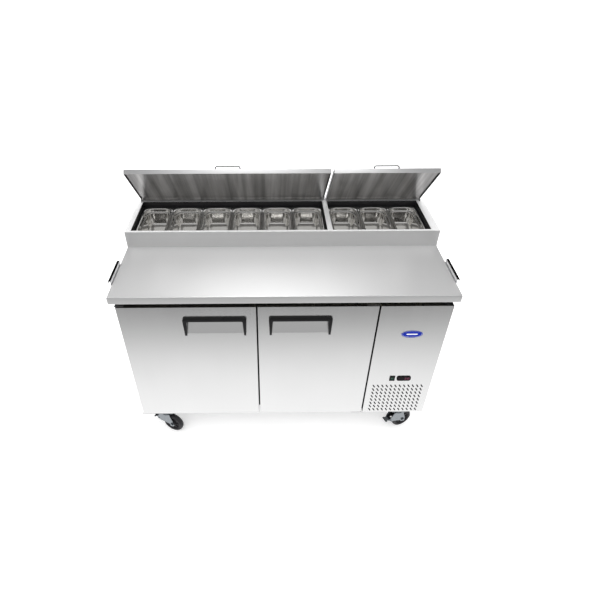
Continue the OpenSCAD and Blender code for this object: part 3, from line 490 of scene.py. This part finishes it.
def round_edges(node, width):
    """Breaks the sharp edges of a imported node."""
    piece = frame["nodes"][node]
    weld = piece.modifiers.new("weld", "WELD")
    weld.merge_threshold = WELD
    bevel = piece.modifiers.new("edge", "BEVEL")
    bevel.width = width
    bevel.segments = 2
    bevel.limit_method = "ANGLE"
    bevel.angle_limit = math.radians(35)
    bevel.use_clamp_overlap = True
    level = piece.modifiers.new("shading", "WEIGHTED_NORMAL")
    level.keep_sharp = True


def box_of(points):
    """The lowest and the highest corner of a cloud of points."""
    return (Vector(min(p[i] for p in points) for i in range(3)),
            Vector(max(p[i] for p in points) for i in range(3)))


def local_box(node, place):
    """A node's box in the coordinates of place."""
    back = place.inverted()
    return box_of([back @ v.co for v in frame["nodes"][node].data.vertices])


def islands(node):
    """The boxes of the separate solids in one node."""
    bm = bmesh.new()
    bm.from_mesh(frame["nodes"][node].data)
    bmesh.ops.remove_doubles(bm, verts=bm.verts, dist=WELD)
    left = set(bm.verts)
    found = []
    while left:
        seed = left.pop()
        group, fresh = [seed], [seed]
        while fresh:
            vert = fresh.pop()
            for edge in vert.link_edges:
                other = edge.other_vert(vert)
                if other in left:
                    left.discard(other)
                    group.append(other)
                    fresh.append(other)
        found.append(box_of([v.co for v in group]))
    bm.free()
    return found


def joint_pos(name):
    return Vector(JOINTS[name]["pos_m"])


# ------------------------------------------------------------------ sheet metal

SHEET = 1.3 * MM


def worktop():
    """Pressed top: rounded front and side edges, and a hem turned in below the lip."""
    low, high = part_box("worktop")
    hem, top_round, hem_round, corner = 14 * MM, 6 * MM, 2.5 * MM, 4 * MM
    bm = bmesh.new()
    add_box(bm, low, high)
    bottom = lowest(bm.faces)
    back = max(bm.faces, key=lambda f: f.calc_center_median().y)
    bmesh.ops.inset_individual(bm, faces=[bottom], thickness=hem, use_even_offset=True)
    bmesh.ops.delete(bm, geom=[bottom, back], context="FACES_ONLY")
    soften(bm, top_round, 5, lambda e: min(v.co.z for v in e.verts) > high.z - MM)
    soften(bm, hem_round, 3, lambda e: max(v.co.z for v in e.verts) < low.z + MM)
    soften(bm, corner, 4, lambda e: runs_along(e, 2))
    piece = finish_piece("worktop_sheet", bm, "brushed_steel", ROOT, ("worktop",),
                         finish=SHOWN_ONLY["worktop_steel"])
    second_finish(piece.data, FINISHES["brushed_steel"], lambda f: not is_level(f))
    thicken(piece, SHEET)


def pan_rail():
    """Raised rail with its two openings, all edges rolled."""
    low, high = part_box("rail_housing")
    left, right = sorted(islands("well_collars"), key=lambda b: b[0].x)
    wall, opening_drop, rim_round, opening_round = 4 * MM, 4 * MM, 4 * MM, 1.5 * MM
    xs = [low.x, left[0].x + wall, left[1].x - wall, right[0].x + wall, right[1].x - wall, high.x]
    ys = [low.y, left[0].y + wall, left[1].y - wall, high.y]
    openings = ((1, 1), (3, 1))

    def on_rim(vert):
        return abs(vert.co.x) > high.x - MM or vert.co.y < low.y + MM or vert.co.y > high.y - MM

    bm = bmesh.new()
    grid = [[bm.verts.new((x, y, high.z)) for x in xs] for y in ys]
    for j in range(len(ys) - 1):
        for i in range(len(xs) - 1):
            if (i, j) not in openings:
                bm.faces.new((grid[j][i], grid[j][i + 1], grid[j + 1][i + 1], grid[j + 1][i]))
    open_edges = [e for e in bm.edges if e.is_boundary]
    rim = [e for e in open_edges if all(on_rim(v) for v in e.verts)]
    inner = [e for e in open_edges if e not in rim]
    for edges, drop in ((rim, high.z - low.z), (inner, opening_drop)):
        made = bmesh.ops.extrude_edge_only(bm, edges=edges)["geom"]
        verts = [g for g in made if isinstance(g, bmesh.types.BMVert)]
        bmesh.ops.translate(bm, vec=(0, 0, -drop), verts=verts)
    soften(bm, rim_round, 4, lambda e: all(on_rim(v) for v in e.verts))
    soften(bm, opening_round, 3, lambda e: not any(on_rim(v) for v in e.verts))
    piece = finish_piece("rail_sheet", bm, "brushed_steel", ROOT, ("rail_housing",))
    second_finish(piece.data, SHOWN_ONLY["deck_steel"], is_level)
    thicken(piece, SHEET)


# ------------------------------------------------------------------ pans

PANS = 9
PAN_SHEET = 0.8 * MM
# From the rim's turned edge to the floor, in mm: inset from the rim's outline, drop, corner radius
PAN_PROFILE = (
    (1.6, 3.6, 14), (0.6, 2.8, 15), (0.0, 1.6, 16), (0.5, 0.5, 16), (2.2, 0.0, 16),
    (10.0, 0.0, 40), (11.2, 0.6, 42), (12.2, 2.2, 43), (12.7, 5.0, 43), (13.2, 17.5, 43),
    (13.9, 19.6, 43), (16.2, 21.0, 41), (18.6, 22.2, 39), (19.6, 24.4, 38), (20.2, 28.0, 37),
    (24.6, 80.0, 34), (25.6, 86.0, 33), (28.6, 91.5, 31), (33.4, 95.6, 27), (39.5, 97.8, 22),
    (47.0, 98.5, 16),
)


def pan(node):
    """Pressed food pan: a turned rim, a stacking shoulder, tapering walls and a rounded floor."""
    low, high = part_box(node)
    width, length = high.x - low.x - 2 * PAN_SHEET, high.y - low.y - 2 * PAN_SHEET
    place = Matrix.Translation(((low.x + high.x) / 2, (low.y + high.y) / 2, 0))
    bm = bmesh.new()
    rings = []
    for inset, drop, corner in PAN_PROFILE:
        outline = rounded_rect(width - 2 * inset * MM, length - 2 * inset * MM, corner * MM)
        rings.append([bm.verts.new((p.x, p.y, high.z - drop * MM)) for p in outline])
    skin_rings(bm, rings)
    bm.faces.new(rings[-1])
    piece = finish_piece(node.replace("pan", "food_pan"), bm, "pan_steel", node, (node,), place=place,
                         sharp=50.0)
    turn_up(piece)
    thicken(piece, PAN_SHEET)


def turn_up(piece):
    """Makes an open sheet's normals face up, so that its thickness goes below."""
    mesh = piece.data
    if min(mesh.polygons, key=lambda p: p.center.z).normal.z < 0:
        mesh.flip_normals()


# ------------------------------------------------------------------ lids

def lid_place(side):
    """The lid's own coordinates: closed, measured from its hinge axis."""
    hinge = f"{side}_lid_hinge"
    opened = math.radians(JOINTS[hinge]["range_deg"][0])
    axis = joint_pos(hinge)
    return Matrix.Translation((0, axis.y, axis.z)) @ Matrix.Rotation(opened, 4, "X")


def lid(side):
    """One hinged lid: its pressed cover, knuckles, inner panel, trim and handle."""
    body = f"{side}_lid"
    place = lid_place(side)
    low, high = local_box(f"{side}_lid_shell", place)
    cover_round, panel_round = 3 * MM, 1.0 * MM
    bm = bmesh.new()
    add_box(bm, low, high)
    bmesh.ops.delete(bm, geom=[lowest(bm.faces)], context="FACES_ONLY")
    soften(bm, cover_round, 4)
    cover = finish_piece(f"{side}_lid_cover", bm, "brushed_steel", body, (f"{side}_lid_shell",),
                         place=place, finish=SHOWN_ONLY["lid_steel"])
    thicken(cover, SHEET)
    knuckle, reach, knuckle_round = 7 * MM, 14 * MM, 1.2 * MM
    bm = bmesh.new()
    for start in (low.x, high.x - reach):
        add_rod(bm, (start, 0, 0), (start + reach, 0, 0), knuckle, 28, knuckle_round)
    finish_piece(f"{side}_lid_knuckles", bm, "chrome", body, place=place)
    low, high = local_box(f"{side}_lid_liner", place)
    bm = bmesh.new()
    add_box(bm, low, high)
    soften(bm, panel_round, 3, angle=15.0)
    finish_piece(f"{side}_lid_panel", bm, "lid_inner", body, (f"{side}_lid_liner",), place=place,
                 sharp=40.0)
    lid_trim(side, body, place, low, high)
    lid_handle(side, body, place)


def lid_trim(side, body, place, low, high):
    """Black strip round the inner panel, painted shadow under the cover's flanges, and the panel's rolled edge by
    the hinge.
    """
    deep, wide, shadow_strip_round = 6.5 * MM, 3.2 * MM, 1.0 * MM
    base = low.z + 0.2 * MM
    # The black strip stands in for the shadow under the cover's flanges: painted shadow.
    bm = bmesh.new()
    for x in (low.x, high.x - wide):
        add_box(bm, (x, low.y, base - deep), (x + wide, high.y, base))
    add_box(bm, (low.x + wide, low.y, base - deep), (high.x - wide, low.y + wide, base))
    soften(bm, shadow_strip_round, 3, lambda e: max(v.co.z for v in e.verts) < base - deep + 0.1 * MM)
    finish_piece(f"{side}_lid_shadow_strip", bm, "gasket", body, place=place, finish=FINISHES["black_trim"])
    roll, roll_deep, steps = 24 * MM, 5.0 * MM, 10
    bm = bmesh.new()
    section = [(high.y - roll * (1 - i / steps), base - roll_deep * math.sin(a))
               for i, a in enumerate(quarter(steps))] + [(high.y, base)]
    end = bm.faces.new([bm.verts.new((low.x + wide, y, z)) for y, z in section])
    draw_out(bm, end, (high.x - low.x - 2 * wide, 0, 0))
    finish_piece(f"{side}_lid_roll", bm, "lid_inner", body, place=place)


def lid_handle(side, body, place):
    """Bent-wire pull on two ferrules."""
    low, high = local_box(f"{side}_lid_handle", place)
    radius, y = (high.y - low.y) / 2, (low.y + high.y) / 2
    bend, ferrule, ferrule_round = 9 * MM, 7 * MM, 0.8 * MM
    bend_z = high.z - radius - bend
    feet = low.x + radius, high.x - radius
    path = [Vector((feet[0], y, low.z)), Vector((feet[0], y, bend_z))]
    for cx, start in ((feet[0] + bend, math.pi), (feet[1] - bend, math.pi / 2)):
        path += [Vector((cx + bend * math.cos(start - a), y, bend_z + bend * math.sin(start - a)))
                 for a in quarter(6)]
    path += [Vector((feet[1], y, bend_z)), Vector((feet[1], y, low.z))]
    bm = bmesh.new()
    add_tube(bm, path, radius * 0.92, 14)
    finish_piece(f"{side}_lid_pull", bm, "chrome", body, (f"{side}_lid_handle",), place=place,
                 sharp=60.0, finish=SHOWN_ONLY["wire_chrome"])
    bm = bmesh.new()
    for x in feet:
        add_rod(bm, (x, y, low.z), (x, y, low.z + ferrule), radius * 1.45, 20, ferrule_round)
    finish_piece(f"{side}_lid_ferrules", bm, "chrome", body, place=place, finish=SHOWN_ONLY["ferrule"])


def add_tube(bm, path, radius, sides):
    """Sweeps a circle along a path that stays in one XZ plane."""
    rings = []
    out = Vector((0, 1, 0))
    for i, point in enumerate(path):
        before, after = path[max(i - 1, 0)], path[min(i + 1, len(path) - 1)]
        side = (after - before).normalized().cross(out).normalized()
        rings.append([bm.verts.new(point + radius * (math.cos(a) * out + math.sin(a) * side))
                      for a in around(sides)])
    skin_rings(bm, rings)
    bm.faces.new(rings[0])
    bm.faces.new(rings[-1])


# ------------------------------------------------------------------ doors

def grip(side):
    """Moulded grip trim: a bar over the finger pocket and a tapering leg down each side."""
    node = f"{side}_door_grip"
    low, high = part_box(node)
    mid, half = (low.x + high.x) / 2, (high.x - low.x) / 2
    outer_round, inner_round, front_round, bar = 11 * MM, 6 * MM, 3.2 * MM, 19 * MM
    leg_top, leg_foot, lean = 20 * MM, 11 * MM, 4 * MM

    def arc(x, z, radius):
        """The rounding of a corner whose sides are at x and z."""
        return [(x - radius + radius * math.cos(a), z - radius + radius * math.sin(a)) for a in quarter(6)]

    outer_arc = arc(half, high.z, outer_round)
    inner_arc = arc(half - leg_top, high.z - bar, inner_round)
    one_side = [(half - lean - leg_foot, low.z), (half - lean, low.z)] + outer_arc
    outline = one_side + [(-x, z) for x, z in reversed(one_side)]
    outline += [(-x, z) for x, z in inner_arc] + [(x, z) for x, z in reversed(inner_arc)]
    bm = bmesh.new()
    front = bm.faces.new([bm.verts.new((mid + x, low.y, z)) for x, z in outline])
    draw_out(bm, front, (0, high.y - low.y, 0))
    bmesh.ops.recalc_face_normals(bm, faces=bm.faces)
    soften(bm, front_round, 4, lambda e: all(v.co.y < low.y + 0.1 * MM for v in e.verts))
    bmesh.ops.triangulate(bm, faces=[f for f in bm.faces if len(f.verts) > 4])
    finish_piece(f"{side}_grip", bm, "black_plastic", f"{side}_door", (node,), sharp=38.0)


def top_cap(name, node, body):
    """Black end cap over the top of a door or of the bay's panel."""
    low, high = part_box(node)
    inset_x, inset_y, rise, cap_round = 0.6 * MM, 1.0 * MM, 0.9 * MM, 0.35 * MM
    bm = bmesh.new()
    add_box(bm, (low.x + inset_x, low.y + inset_y, high.z),
            (high.x - inset_x, high.y - inset_y, high.z + rise))
    soften(bm, cap_round, 2, lambda e: min(v.co.z for v in e.verts) > high.z + rise / 2)
    finish_piece(name, bm, "black_plastic", body)


# From the foot round to the foot, as shares of the seal's width and depth: foot, fold, magnet bulb
SEAL_SECTION = (
    (0.16, 0.0), (0.84, 0.0), (0.84, 0.22), (0.70, 0.34), (0.94, 0.46), (1.0, 0.66), (0.97, 0.9),
    (0.86, 1.0), (0.5, 0.96), (0.14, 1.0), (0.03, 0.9), (0.0, 0.66), (0.06, 0.46), (0.30, 0.34),
    (0.16, 0.22),
)


def seal(side):
    """Magnetic door seal: a soft bellows section mitred round the door."""
    node = f"{side}_door_gasket"
    low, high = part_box(node)
    width, depth = 14 * MM, high.y - low.y
    corners = ((low.x, low.z, 1, 1), (high.x, low.z, -1, 1), (high.x, high.z, -1, -1),
               (low.x, high.z, 1, -1))
    bm = bmesh.new()
    rings = [[bm.verts.new((x + sx * inset * width, low.y + rise * depth, z + sz * inset * width))
              for inset, rise in SEAL_SECTION] for x, z, sx, sz in corners]
    skin_rings(bm, rings, closed=True)
    finish_piece(f"{side}_seal", bm, "gasket", f"{side}_door", (node,), sharp=50.0)


# ------------------------------------------------------------------ machine bay front

def badge():
    """Blank oval plate: a plated rim, a domed blue face, a plain pinstripe and a plain bar."""
    low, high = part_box("badge")
    a, b, depth = (high.x - low.x) / 2, (high.z - low.z) / 2, high.y - low.y
    centre = Vector(((low.x + high.x) / 2, high.y, (low.z + high.z) / 2))
    facing = Matrix.Translation(centre) @ Matrix.Rotation(math.pi / 2, 4, "X")

    def ovals(bm, *levels):
        """Joined rings, as (inset from the outline in mm, share of the depth)."""
        rings = []
        for inset, share in levels:
            wide, tall, rise = a - inset * MM, b - inset * MM, depth * share
            rings.append([bm.verts.new(facing @ Vector((wide * math.cos(t), tall * math.sin(t), rise)))
                          for t in around(72)])
        skin_rings(bm, rings)
        return rings

    bm = bmesh.new()
    ovals(bm, (0, 0), (0, 0.7), (0.5, 1), (1.54, 1), (2.2, 0.75))
    finish_piece("badge_rim", bm, "badge_blue", ROOT, ("badge",), finish=SHOWN_ONLY["badge_rim"])
    bm = bmesh.new()
    bm.faces.new(ovals(bm, (2.2, 0.3), (2.2, 0.72), (6, 0.86), (12, 0.95), (18, 0.98))[-1])
    finish_piece("badge_face", bm, "badge_blue", ROOT, sharp=60.0)
    bm = bmesh.new()
    ovals(bm, (6.4, 0.8), (6.6, 0.93), (7.6, 0.96), (7.9, 0.8))
    finish_piece("badge_pinstripe", bm, "badge_blue", ROOT, finish=SHOWN_ONLY["badge_rim"])
    bm = bmesh.new()
    reach, half = a * 0.5, b * 0.13
    front, back = low.y + depth * 0.012, low.y + depth * 0.3
    add_box(bm, (centre.x - reach, front, centre.z - half), (centre.x + reach, back, centre.z + half))
    soften(bm, half * 0.9, 5, lambda e: runs_along(e, 1))
    finish_piece("badge_bar", bm, "badge_blue", ROOT, finish=SHOWN_ONLY["badge_white"])


def shade_behind_grille():
    """Black pleated mat behind the grille slots: painted shade that keeps the slots dark."""
    low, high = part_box("front_panel")
    left, right, front = low.x + 22 * MM, high.x - 14 * MM, low.y + 7 * MM
    bottom, top = low.z + 4 * MM, low.z + 240 * MM
    folds, pleat, mat = 60, 3 * MM, 0.6 * MM
    line = [(left + (right - left) * i / folds, front + pleat * (i % 2)) for i in range(folds + 1)]
    bm = bmesh.new()
    lower, upper = ([bm.verts.new((x, y, z)) for x, y in line] for z in (bottom, top))
    for i in range(folds):
        bm.faces.new((lower[i], lower[i + 1], upper[i + 1], upper[i]))
    # The mat's black is painted shade in the machine bay behind the slots.
    piece = finish_piece("grille_shade_mat", bm, "black_trim", ROOT, sharp=10.0)
    thicken(piece, mat)


# The lit segments of each numeral, by the letters that seven-segment displays use
SEGMENTS = {"3": "abgcd", "8": "abcdefg"}
# From behind the bezel's edge to its inner edge, in mm: inset, rise over the face, corner radius
BEZEL = ((0, -4, 12), (0, -1.4, 12), (0.4, -0.4, 11.6), (1.4, 0, 10.6), (3.2, 0, 9), (3.8, -0.5, 8.5),
         (4.0, -1.4, 8.3))


def digit(bm, glyph, origin, width, height, stroke, depth):
    """One seven-segment numeral, lower left corner at origin, facing -Y."""
    x, y, z = origin
    half = height / 2
    spans = {
        "a": (x + stroke, z + height - stroke, width - 2 * stroke, stroke),
        "g": (x + stroke, z + half - stroke / 2, width - 2 * stroke, stroke),
        "d": (x + stroke, z, width - 2 * stroke, stroke),
        "f": (x, z + half, stroke, half - stroke / 2),
        "b": (x + width - stroke, z + half, stroke, half - stroke / 2),
        "e": (x, z + stroke / 2, stroke, half - stroke / 2),
        "c": (x + width - stroke, z + stroke / 2, stroke, half - stroke / 2),
    }
    for name in SEGMENTS[glyph]:
        sx, sz, w, h = spans[name]
        add_box(bm, (sx, y - depth, sz), (sx + w, y, sz + h))


def controls():
    """Thermostat front: a rounded bezel, a dark window, lit numerals and flat keys."""
    low, high = sorted(islands("control_modules"), key=lambda b: b[0].x)[1]
    face, mid_x, mid_z = low.y, (low.x + high.x) / 2, (low.z + high.z) / 2
    width, height = high.x - low.x, high.z - low.z
    facing = Matrix.Translation((mid_x, face, mid_z)) @ Matrix.Rotation(math.pi / 2, 4, "X")

    def ring(bm, inset, rise, corner):
        outline = rounded_rect(width - 2 * inset * MM, height - 2 * inset * MM, corner * MM)
        return [bm.verts.new(facing @ Vector((p.x, p.y, rise * MM))) for p in outline]

    bm = bmesh.new()
    skin_rings(bm, [ring(bm, *step) for step in BEZEL])
    finish_piece("thermostat_bezel", bm, "black_plastic", ROOT, sharp=50.0)
    bm = bmesh.new()
    bm.faces.new(ring(bm, 4, 0.03, 8.2))
    finish_piece("thermostat_window", bm, "black_plastic", ROOT, finish=SHOWN_ONLY["display"])
    tall = height * 0.46
    wide, stroke, foot = tall * 0.8, tall * 0.16, mid_z - tall / 2
    behind, proud = 0.1 * MM, 0.1 * MM
    bm = bmesh.new()
    for i, glyph in enumerate("38"):
        x = mid_x + width * 0.02 + i * wide * 1.35
        digit(bm, glyph, (x, face + behind, foot), wide, tall, stroke, behind + proud)
    finish_piece("thermostat_numerals", bm, "black_plastic", ROOT, finish=SHOWN_ONLY["digits"])
    key, key_foot, key_round = 3.1 * MM, 0.2 * MM, 0.1 * MM
    bm = bmesh.new()
    for i in range(3):
        x = mid_x - width * 0.34 + i * width * 0.13
        add_rod(bm, (x, face + key_foot, mid_z), (x, face - proud, mid_z), key, 20, key_round)
    finish_piece("thermostat_keys", bm, "black_plastic", ROOT, sharp=30.0)


def rocker():
    """Rocker cap, dished across its middle, on its pin."""
    place = Matrix.Translation(joint_pos("power_switch")) @ Matrix.Rotation(math.radians(8), 4, "X")
    half_w, half_h, front_y, back_y = 7.2 * MM, 10.8 * MM, -8.8 * MM, 2 * MM
    dish, edge_round, pin_reach, pin_radius = 2.4 * MM, 0.6 * MM, 9.2 * MM, 1.4 * MM
    steps = 8
    outline = [(front_y + dish * (1 - abs(t)), t * half_h)
               for t in (-1 + 2 * i / steps for i in range(steps + 1))]
    outline += [(back_y, half_h * 0.8), (back_y, -half_h * 0.8)]
    bm = bmesh.new()
    end = bm.faces.new([bm.verts.new((-half_w, y, z)) for y, z in outline])
    draw_out(bm, end, (2 * half_w, 0, 0))
    bmesh.ops.recalc_face_normals(bm, faces=bm.faces)
    soften(bm, edge_round, 2, angle=40.0)
    add_rod(bm, (-pin_reach, 0, 0), (pin_reach, 0, 0), pin_radius, 14)
    finish_piece("rocker_cap", bm, "rocker_green", "power_rocker", ("power_rocker",), place=place)


# ------------------------------------------------------------------ casters

CASTERS = ("front_left", "front_right", "rear_left", "rear_right")
# Half sections from the outside inwards, as shares of the wheel's radius and of half its width
TYRE = ((1.0, 0.0), (0.992, 0.35), (0.965, 0.66), (0.925, 0.88), (0.88, 0.98), (0.80, 1.0),
        (0.765, 0.95), (0.75, 0.82), (0.70, 0.80))
HUB = ((0.76, 0.80), (0.72, 0.86), (0.68, 0.80), (0.64, 0.46), (0.60, 0.40), (0.36, 0.40), (0.33, 0.48),
       (0.31, 0.90), (0.28, 0.96), (0.20, 0.96), (0.18, 0.90), (0.105, 0.90))


def caster_place(name):
    """The caster's own frame: king pin at the origin on the floor, wheel behind it along +X."""
    king = joint_pos(f"{name}_swivel_joint")
    axle = joint_pos(f"{name}_wheel_spin")
    trail = Vector((axle.x - king.x, axle.y - king.y, 0))
    turn = math.atan2(trail.y, trail.x)
    return Matrix.Translation((king.x, king.y, 0)) @ Matrix.Rotation(turn, 4, "Z"), trail.length, axle.z


def wheel(name):
    """Rubber-tyred wheel: crowned tread, moulded shoulder, ribbed hub and bearing face."""
    place, trail, axle_z = caster_place(name)
    node = f"{name}_wheel"
    low, high = local_box(node, place)
    radius, half = (high.x - low.x) / 2, (high.y - low.y) / 2
    spin = place @ Matrix.Translation((trail, 0, axle_z)) @ Matrix.Rotation(math.pi / 2, 4, "X")
    tyre, hub = ([(radius * r, half * h) for r, h in half_section] for half_section in (TYRE, HUB))
    bm = bmesh.new()
    add_lathe(bm, [(r, -h) for r, h in reversed(tyre[1:])] + tyre, 64, spin, closed_ring=True)
    finish_piece(f"{name}_tyre", bm, "wheel_rubber", node, (node,), sharp=40.0)
    bm = bmesh.new()
    add_lathe(bm, hub + [(r, -h) for r, h in reversed(hub)], 64, spin, closed_ring=True)
    rib = 1.3 * MM
    for a in around(8):
        for s in (-1, 1):
            near, far = sorted((s * half * 0.36, s * half * 0.72))
            verts = add_box(bm, (radius * 0.32, -rib, near), (radius * 0.645, rib, far))
            bmesh.ops.transform(bm, matrix=spin @ Matrix.Rotation(a, 4, "Z"), verts=verts)
    finish_piece(f"{name}_hub", bm, "wheel_rubber", node, sharp=35.0)


def axle_nuts(name):
    """Hexagon nut and washer at each end of a wheel's axle."""
    place, trail, axle_z = caster_place(name)
    reach = local_box(f"{name}_fork", place)[1].y
    # How far each starts and ends short of the fork's width, its radius and its sides
    washer, nut = (6.2 * MM, 4.4 * MM, 10.4 * MM, 28), (4.6 * MM, 0.4 * MM, 8.6 * MM, 6)
    bm = bmesh.new()
    for s in (-1, 1):
        for start, end, radius, sides in (washer, nut):
            near, far = ((trail, s * (reach - short), axle_z) for short in (start, end))
            add_rod(bm, near, far, radius, sides)
    finish_piece(f"{name}_axle_nuts", bm, "zinc", f"{name}_swivel", place=place, sharp=25.0)


# ------------------------------------------------------------------ fasteners

# From a screw head's foot to the bottom of its socket, as shares of its radius and height
SCREW_HEAD = ((1, 0), (1, 0.35), (0.86, 0.72), (0.55, 0.93), (0.30, 0.97), (0.26, 0.45), (0.02, 0.3))


def fasteners():
    """Hexagon bolts below and domed screws in the sides, in place of the plain fastener solids."""
    bm = bmesh.new()
    for low, high in islands("fasteners"):
        size, centre = high - low, (low + high) / 2
        thin = min(range(3), key=lambda i: size[i])
        out = Vector((0, 0, 0))
        out[thin] = 1 if thin != 2 and centre[thin] > 0 else -1
        radius, head = max(size) / 2, size[thin]
        foot = centre - out * head / 2
        if thin == 2:
            washer, start, end = (out * head * share for share in (0.25, 0.2, 0.96))
            add_rod(bm, foot, foot + washer, radius, 24)
            add_rod(bm, foot + start, foot + end, radius * 0.82, 6)
        else:
            place = Matrix.Translation(foot) @ out.to_track_quat("Z", "Y").to_matrix().to_4x4()
            add_lathe(bm, [(radius * r, head * h) for r, h in SCREW_HEAD], 24, place)
    finish_piece("screws_and_bolts", bm, "chrome", ROOT, ("fasteners",), sharp=30.0)


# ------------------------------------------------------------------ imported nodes

def dress_nodes():
    """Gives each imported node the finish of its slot, and some of its faces another."""
    for part in RECORD["subparts"]:
        node = frame["nodes"][part["node"]]
        node.data.materials.clear()
        node.data.materials.append(FINISHES[part["material_slot"]])
    # The side faces of the doors and the bay panel in the gaps between them are black, painted shade in the gaps,
    # but not the ones at the table's two ends
    ends = 0.6
    for name in ("left_door_skin", "right_door_skin", "front_panel"):
        skin = frame["nodes"][name].data
        skin.materials[0] = SHOWN_ONLY["door_steel"]
        second_finish(skin, FINISHES["black_trim"],
                      lambda f: abs(f.normal.x) > 0.9 and abs(f.center.x) < ends)
    # The lids' hinge brackets in the middle are bright, and all the others dark
    lids_z, middle = 1.05, 0.5
    second_finish(frame["nodes"]["hinge_brackets"].data, FINISHES["chrome"],
                  lambda f: f.center.z > lids_z and abs(f.center.x) < middle)


# ------------------------------------------------------------------ light, floor and camera

def area_light(name, place, target, size, power):
    """A lamp that lights the table, but shows neither in the picture nor in the metal."""
    data = bpy.data.lights.new(name, "AREA")
    data.shape = "RECTANGLE"
    data.size, data.size_y = size
    data.energy = power
    lamp = bpy.data.objects.new(name, data)
    lamp.location = place
    lamp.rotation_euler = (Vector(target) - Vector(place)).to_track_quat("-Z", "Y").to_euler()
    lamp.visible_camera = False
    lamp.visible_glossy = False
    bpy.context.scene.collection.objects.link(lamp)


# What metal sees of the studio, as (value, brightness) stops. SIDES darkens BACK and goes by the x
# of a ray's direction, BACK goes by its z, and FRONT by its z when it is seen from the side.
FRONT = ((-1.0, 1.1), (-0.78, 1.08), (-0.71, 1.02), (-0.67, 0.86), (-0.63, 0.52), (-0.60, 0.30),
         (-0.56, 0.17), (-0.45, 0.17), (-0.3, 0.36), (0.0, 0.42), (0.3, 0.50), (0.5, 0.50), (0.8, 0.46),
         (1.0, 0.48))
BACK = ((-1.0, 0.22), (-0.82, 0.25), (-0.6, 0.7), (-0.3, 0.42), (0.0, 0.6), (0.3, 1.1), (0.5, 1.0),
        (0.58, 0.66), (0.72, 0.6), (0.88, 2.8), (1.0, 7.0))
SIDES = ((-1.0, 0.0), (-0.28, 0.0), (-0.14, 1.0), (0.12, 1.0), (0.25, 0.0), (1.0, 0.0))
# Over which z SIDES fades in, and over which y BACK takes over from FRONT
ABOVE, BEHIND = (-0.02, 0.3), (-0.15, 0.25)
# Strength of the plain white that lights the table, and of what metal sees
LIT, SEEN = 1.12, 1.1


def studio():
    """White surroundings; metal sees a bright floor, a dim horizon and, behind, darker sides."""
    world = bpy.data.worlds.new("studio")
    bpy.context.scene.world = world
    world.use_nodes = True
    world.node_tree.nodes.clear()
    g = Graph(world.node_tree)
    ray = g.node("ShaderNodeTexCoord").outputs["Generated"]
    x, y, z = g.split(ray)
    side_view = g.node("ShaderNodeVectorMath", operation="MULTIPLY")
    side_view.inputs[1].default_value = (0, 1, 1)
    g.link(ray, side_view.inputs[0])
    unit = g.node("ShaderNodeVectorMath", operation="NORMALIZE")
    g.link(side_view.outputs["Vector"], unit.inputs[0])
    steepness = g.split(unit.outputs["Vector"])[2]
    above, behind = g.remap(z, 0, 1, *ABOVE), g.remap(y, 0, 1, *BEHIND)
    back = g.blend(above, g.ramp(z, BACK), g.ramp(x, SIDES), "MULTIPLY")
    plain = g.node("ShaderNodeBackground")
    plain.inputs["Color"].default_value = (1, 1, 1, 1)
    plain.inputs["Strength"].default_value = LIT
    seen = g.node("ShaderNodeBackground")
    seen.inputs["Strength"].default_value = SEEN
    g.link(g.blend(behind, g.ramp(steepness, FRONT), back), seen.inputs["Color"])
    mix = g.node("ShaderNodeMixShader")
    g.link(g.node("ShaderNodeLightPath").outputs["Is Glossy Ray"], mix.inputs["Fac"])
    g.link(plain.outputs["Background"], mix.inputs[1])
    g.link(seen.outputs["Background"], mix.inputs[2])
    g.link(mix.outputs["Shader"], g.node("ShaderNodeOutputWorld").inputs["Surface"])
    area_light("back_softbox", (0, 3.6, 4.6), (0, 0, 1), (3.0, 2.2), 120)
    area_light("front_fill", (-1.5, -4.0, 4.5), (0, 0, 0.6), (3.0, 3.0), 60)


def floor():
    """A white floor just below the casters, out past the picture's edges."""
    bm = bmesh.new()
    reach, drop = 60.0, 0.2 * MM
    bm.faces.new([bm.verts.new((x * reach, y * reach, -drop))
                  for x, y in ((-1, -1), (1, -1), (1, 1), (-1, 1))])
    mesh = bpy.data.meshes.new("floor")
    bm.to_mesh(mesh)
    bm.free()
    g = Finish("floor_paint")
    speckle = g.noise(3.0, 3.0, 0.5)
    g.colour(g.blend(g.remap(speckle, 0, 1), (0.93, 0.93, 0.93), (0.95, 0.95, 0.95)))
    g.set(Roughness=0.9, Specular_IOR_Level=0.1, Emission_Color=(1, 1, 1, 1), Emission_Strength=0.3)
    mesh.materials.append(g.material)
    piece = bpy.data.objects.new("floor", mesh)
    piece.visible_glossy = False
    bpy.context.scene.collection.objects.link(piece)


def camera():
    """The photograph's view, from above the table's front."""
    data = bpy.data.cameras.new("camera")
    data.sensor_width = 36.0
    data.lens = 28.85
    data.shift_x = 0.0435
    data.shift_y = 0.10
    data.clip_end = 200.0
    eye = bpy.data.objects.new("camera", data)
    eye.location = (-0.074, -2.333, 2.333)
    pitch, yaw, roll = 42.335, 0.648, 0.011
    eye.rotation_euler = (math.radians(90 - pitch), math.radians(roll), math.radians(-yaw))
    bpy.context.scene.collection.objects.link(eye)
    bpy.context.scene.camera = eye
    bpy.context.scene.view_settings.view_transform = "Standard"


# ------------------------------------------------------------------ assembly

dress_nodes()
worktop()
pan_rail()
for number in range(1, PANS + 1):
    pan(f"pan_{number}")
for side in ("left", "right"):
    lid(side)
    grip(side)
    seal(side)
for side in ("left", "right"):
    top_cap(f"{side}_door_cap", f"{side}_door_skin", f"{side}_door")
top_cap("panel_cap", "front_panel", ROOT)
shade_behind_grille()
badge()
controls()
rocker()
for name in CASTERS:
    wheel(name)
    axle_nuts(name)
fasteners()
for node in ("left_door_skin", "right_door_skin"):
    round_edges(node, 0.5 * MM)
studio()
floor()
camera()
